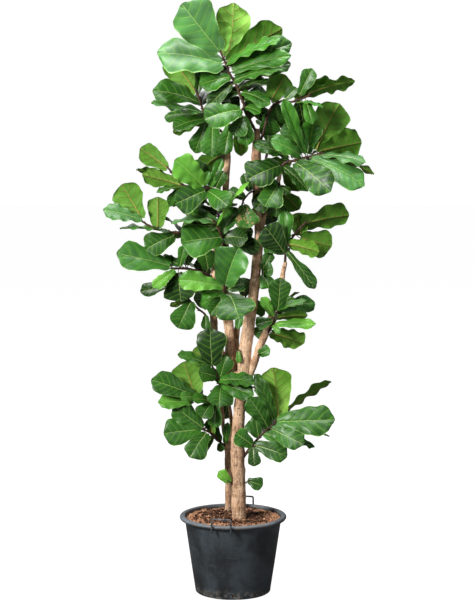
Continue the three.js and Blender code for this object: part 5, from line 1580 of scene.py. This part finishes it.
# ---- Low shoots and sprouts on the main trunk ----
# A long shoot sweeps out to the right from low on the trunk and turns back over itself. Below
# it a short shoot and two tiny sprouts come straight from the bark.
grow_shoot(
    "shoot_foot_right",
    twig=[
        (3.6, 56.8, -4, 1.2), (6.5, 60.8, -6.5, 1.2), (9, 64, -8, 1.1), (12, 67.5, -9, 1.1),
        (15, 70.3, -9, 1), (18, 73, -9, 1), (15.8, 79, -7, 0.8), (12.5, 86.5, -6, 0.8),
        (8.7, 88, -7, 0.7),
    ],
    leaves=[
        (19.3, 74.3, 16.8, 96.4, 2, 13.5, 174, 8, 0.05, "fresh"),
        (17.6, 75, 10, 93, 3, 6, 15, 25, 0.1),
        (14.5, 71, 6.8, 83.6, 4, 8.5, 20, 8, 0.06),
        (15.9, 72, 13, 83, -3, 4.2, 12, 10, 0.04),
        (21.5, 76.5, 41.7, 90.2, -11, 9.5, 128, 20, 0.04, "painted_shade"),
        (19, 73.2, 43.3, 74, 5, 13.5, 28, 10, 0.05),
        (16.5, 70, 30, 63.2, 8, 10, 22, 10, 0.06),
        (17, 71, 41, 66.8, -4, 7.5, 108, 10, 0.04),
        (15, 69.6, 34.7, 62.2, -5, 5.5, 60, 10, 0.02),
        (13, 68, 21.5, 65.5, 2, 6, 25, 10, 0.06),
        (10.8, 66.5, 9.3, 76.2, -1, 4.5, 20, 10, 0.08),
        (9.3, 88.8, 11, 93.7, -4, 4, 20, 12, 0.08),
        (9.4, 87.2, 14, 83.3, 3, 4, 30, 12, 0.1),
        (12.5, 87.4, 15, 92.5, 1, 3.8, 15, 12, 0.08),
        (13, 69, 20, 75, -15, 9, 110, 10, 0.08, "painted_shade"),
        (11, 66.7, 7, 73.8, -3, 6, 20, 10, 0.08),
        (16.5, 72.5, 26, 80, -14, 9, 110, 10, 0.08, "painted_shade"),
    ],
)
grow_shoot(
    "shoot_foot_right_low",
    twig=[(3.4, 61.6, -4, 0.9), (5.4, 63.3, -8.5, 0.9), (8.3, 62.9, -12, 0.8)],
    leaves=[
        (8, 63.3, 1, 68.3, 2, 8, 25, 10, 0.08),
        (9.5, 63, 23, 58, 4, 9.2, 22, 10, 0.06),
        (8.5, 62, 9, 53.9, 3, 5.6, 8, 10, 0.06),
    ],
)
grow_shoot(
    "sprout_right",
    twig=[(4.6, 46.5, -4, 0.5), (6, 47.3, -5.5, 0.5)],
    leaves=[
        (6.3, 47.8, 12.7, 45.7, 1, 6, 16, 12, 0.08),
    ],
)
grow_shoot(
    "sprout_left",
    twig=[(0.4, 45.8, -5, 0.5), (-1.2, 47.1, -6.6, 0.5)],
    leaves=[
        (-1.4, 47.4, -6.2, 51.8, 1, 4.8, 15, 12, 0.08, "young"),
    ],
)

# ---- Studio ----
# A wide pale floor under the plant in a white room, lit by soft panels, and the camera. None of
# it is part of the object.
CAMERA_PITCH = math.radians(6.15)
CAMERA_LENS = 108.0
FLOOR_REACH = 30.0
FLOOR_GLOW = 0.98  # for the camera alone: the glow lights nothing
ROOM_GLOW = 0.05  # what the room itself adds to the panels


def pale_floor():
    turns = ((-1, -1), (1, -1), (1, 1), (-1, 1))
    corners = [(x * FLOOR_REACH, y * FLOOR_REACH, 0) for x, y in turns]
    material, tree, shader = new_material("pale floor", Roughness=0.9, Specular_IOR_Level=0.1)
    shader.inputs["Base Color"].default_value = srgb(104, 104, 104)
    shader.inputs["Emission Color"].default_value = srgb(255, 255, 255)
    seen = add(tree, "ShaderNodeLightPath").outputs["Is Camera Ray"]
    tree.links.new(times(tree, seen, FLOOR_GLOW), shader.inputs["Emission Strength"])
    return new_piece("studio_floor", corners, [(0, 1, 2, 3)], material)


def soft_panel(name, place_at, target, size, power, tint):
    lamp = bpy.data.lights.new(name, "AREA")
    lamp.shape = "RECTANGLE"
    lamp.size, lamp.size_y = size
    lamp.energy = power
    lamp.color = tint
    panel = bpy.data.objects.new(name, lamp)
    panel.location = place_at
    panel.rotation_euler = (Vector(target) - Vector(place_at)).to_track_quat("-Z", "Y").to_euler()
    bpy.context.collection.objects.link(panel)
    return panel


panels = [
    soft_panel("panel_left", (-3.6, -3.8, 3.4), (0, 0, 1.3), (1.2, 1.5), 430, (1, 0.99, 0.96)),
    soft_panel("panel_right", (3.4, -4.4, 2.2), (0, 0, 1.3), (1.4, 2.2), 45, (0.97, 0.99, 1)),
    soft_panel("panel_top", (0.2, -0.4, 4.9), (0, 0, 1.2), (2.2, 1.6), 215, (1, 1, 1)),
    soft_panel("panel_back", (0, 2.6, 3.9), (0, 0, 1.6), (3.4, 1.4), 60, (1, 1, 1)),
]
pale_floor()

world = bpy.data.worlds.new("pale room")
world.use_nodes = True
world.node_tree.nodes["Background"].inputs["Color"].default_value = srgb(250, 250, 250)
seen = add(world.node_tree, "ShaderNodeLightPath").outputs["Is Camera Ray"]
lit = maths(world.node_tree, "ADD", seen, ROOM_GLOW)
world.node_tree.links.new(lit, world.node_tree.nodes["Background"].inputs["Strength"])
bpy.context.scene.world = world
bpy.context.scene.view_settings.view_transform = "Standard"

camera_data = bpy.data.cameras.new("camera")
camera_data.lens = CAMERA_LENS
camera_data.sensor_width = 36.0
camera_data.sensor_fit = "AUTO"
camera_data.clip_end = 60
camera = bpy.data.objects.new("camera", camera_data)
camera.location = EYE
camera.rotation_euler = (math.pi / 2 - CAMERA_PITCH, 0, 0)
bpy.context.collection.objects.link(camera)
bpy.context.scene.camera = camera

bpy.context.view_layer.update()
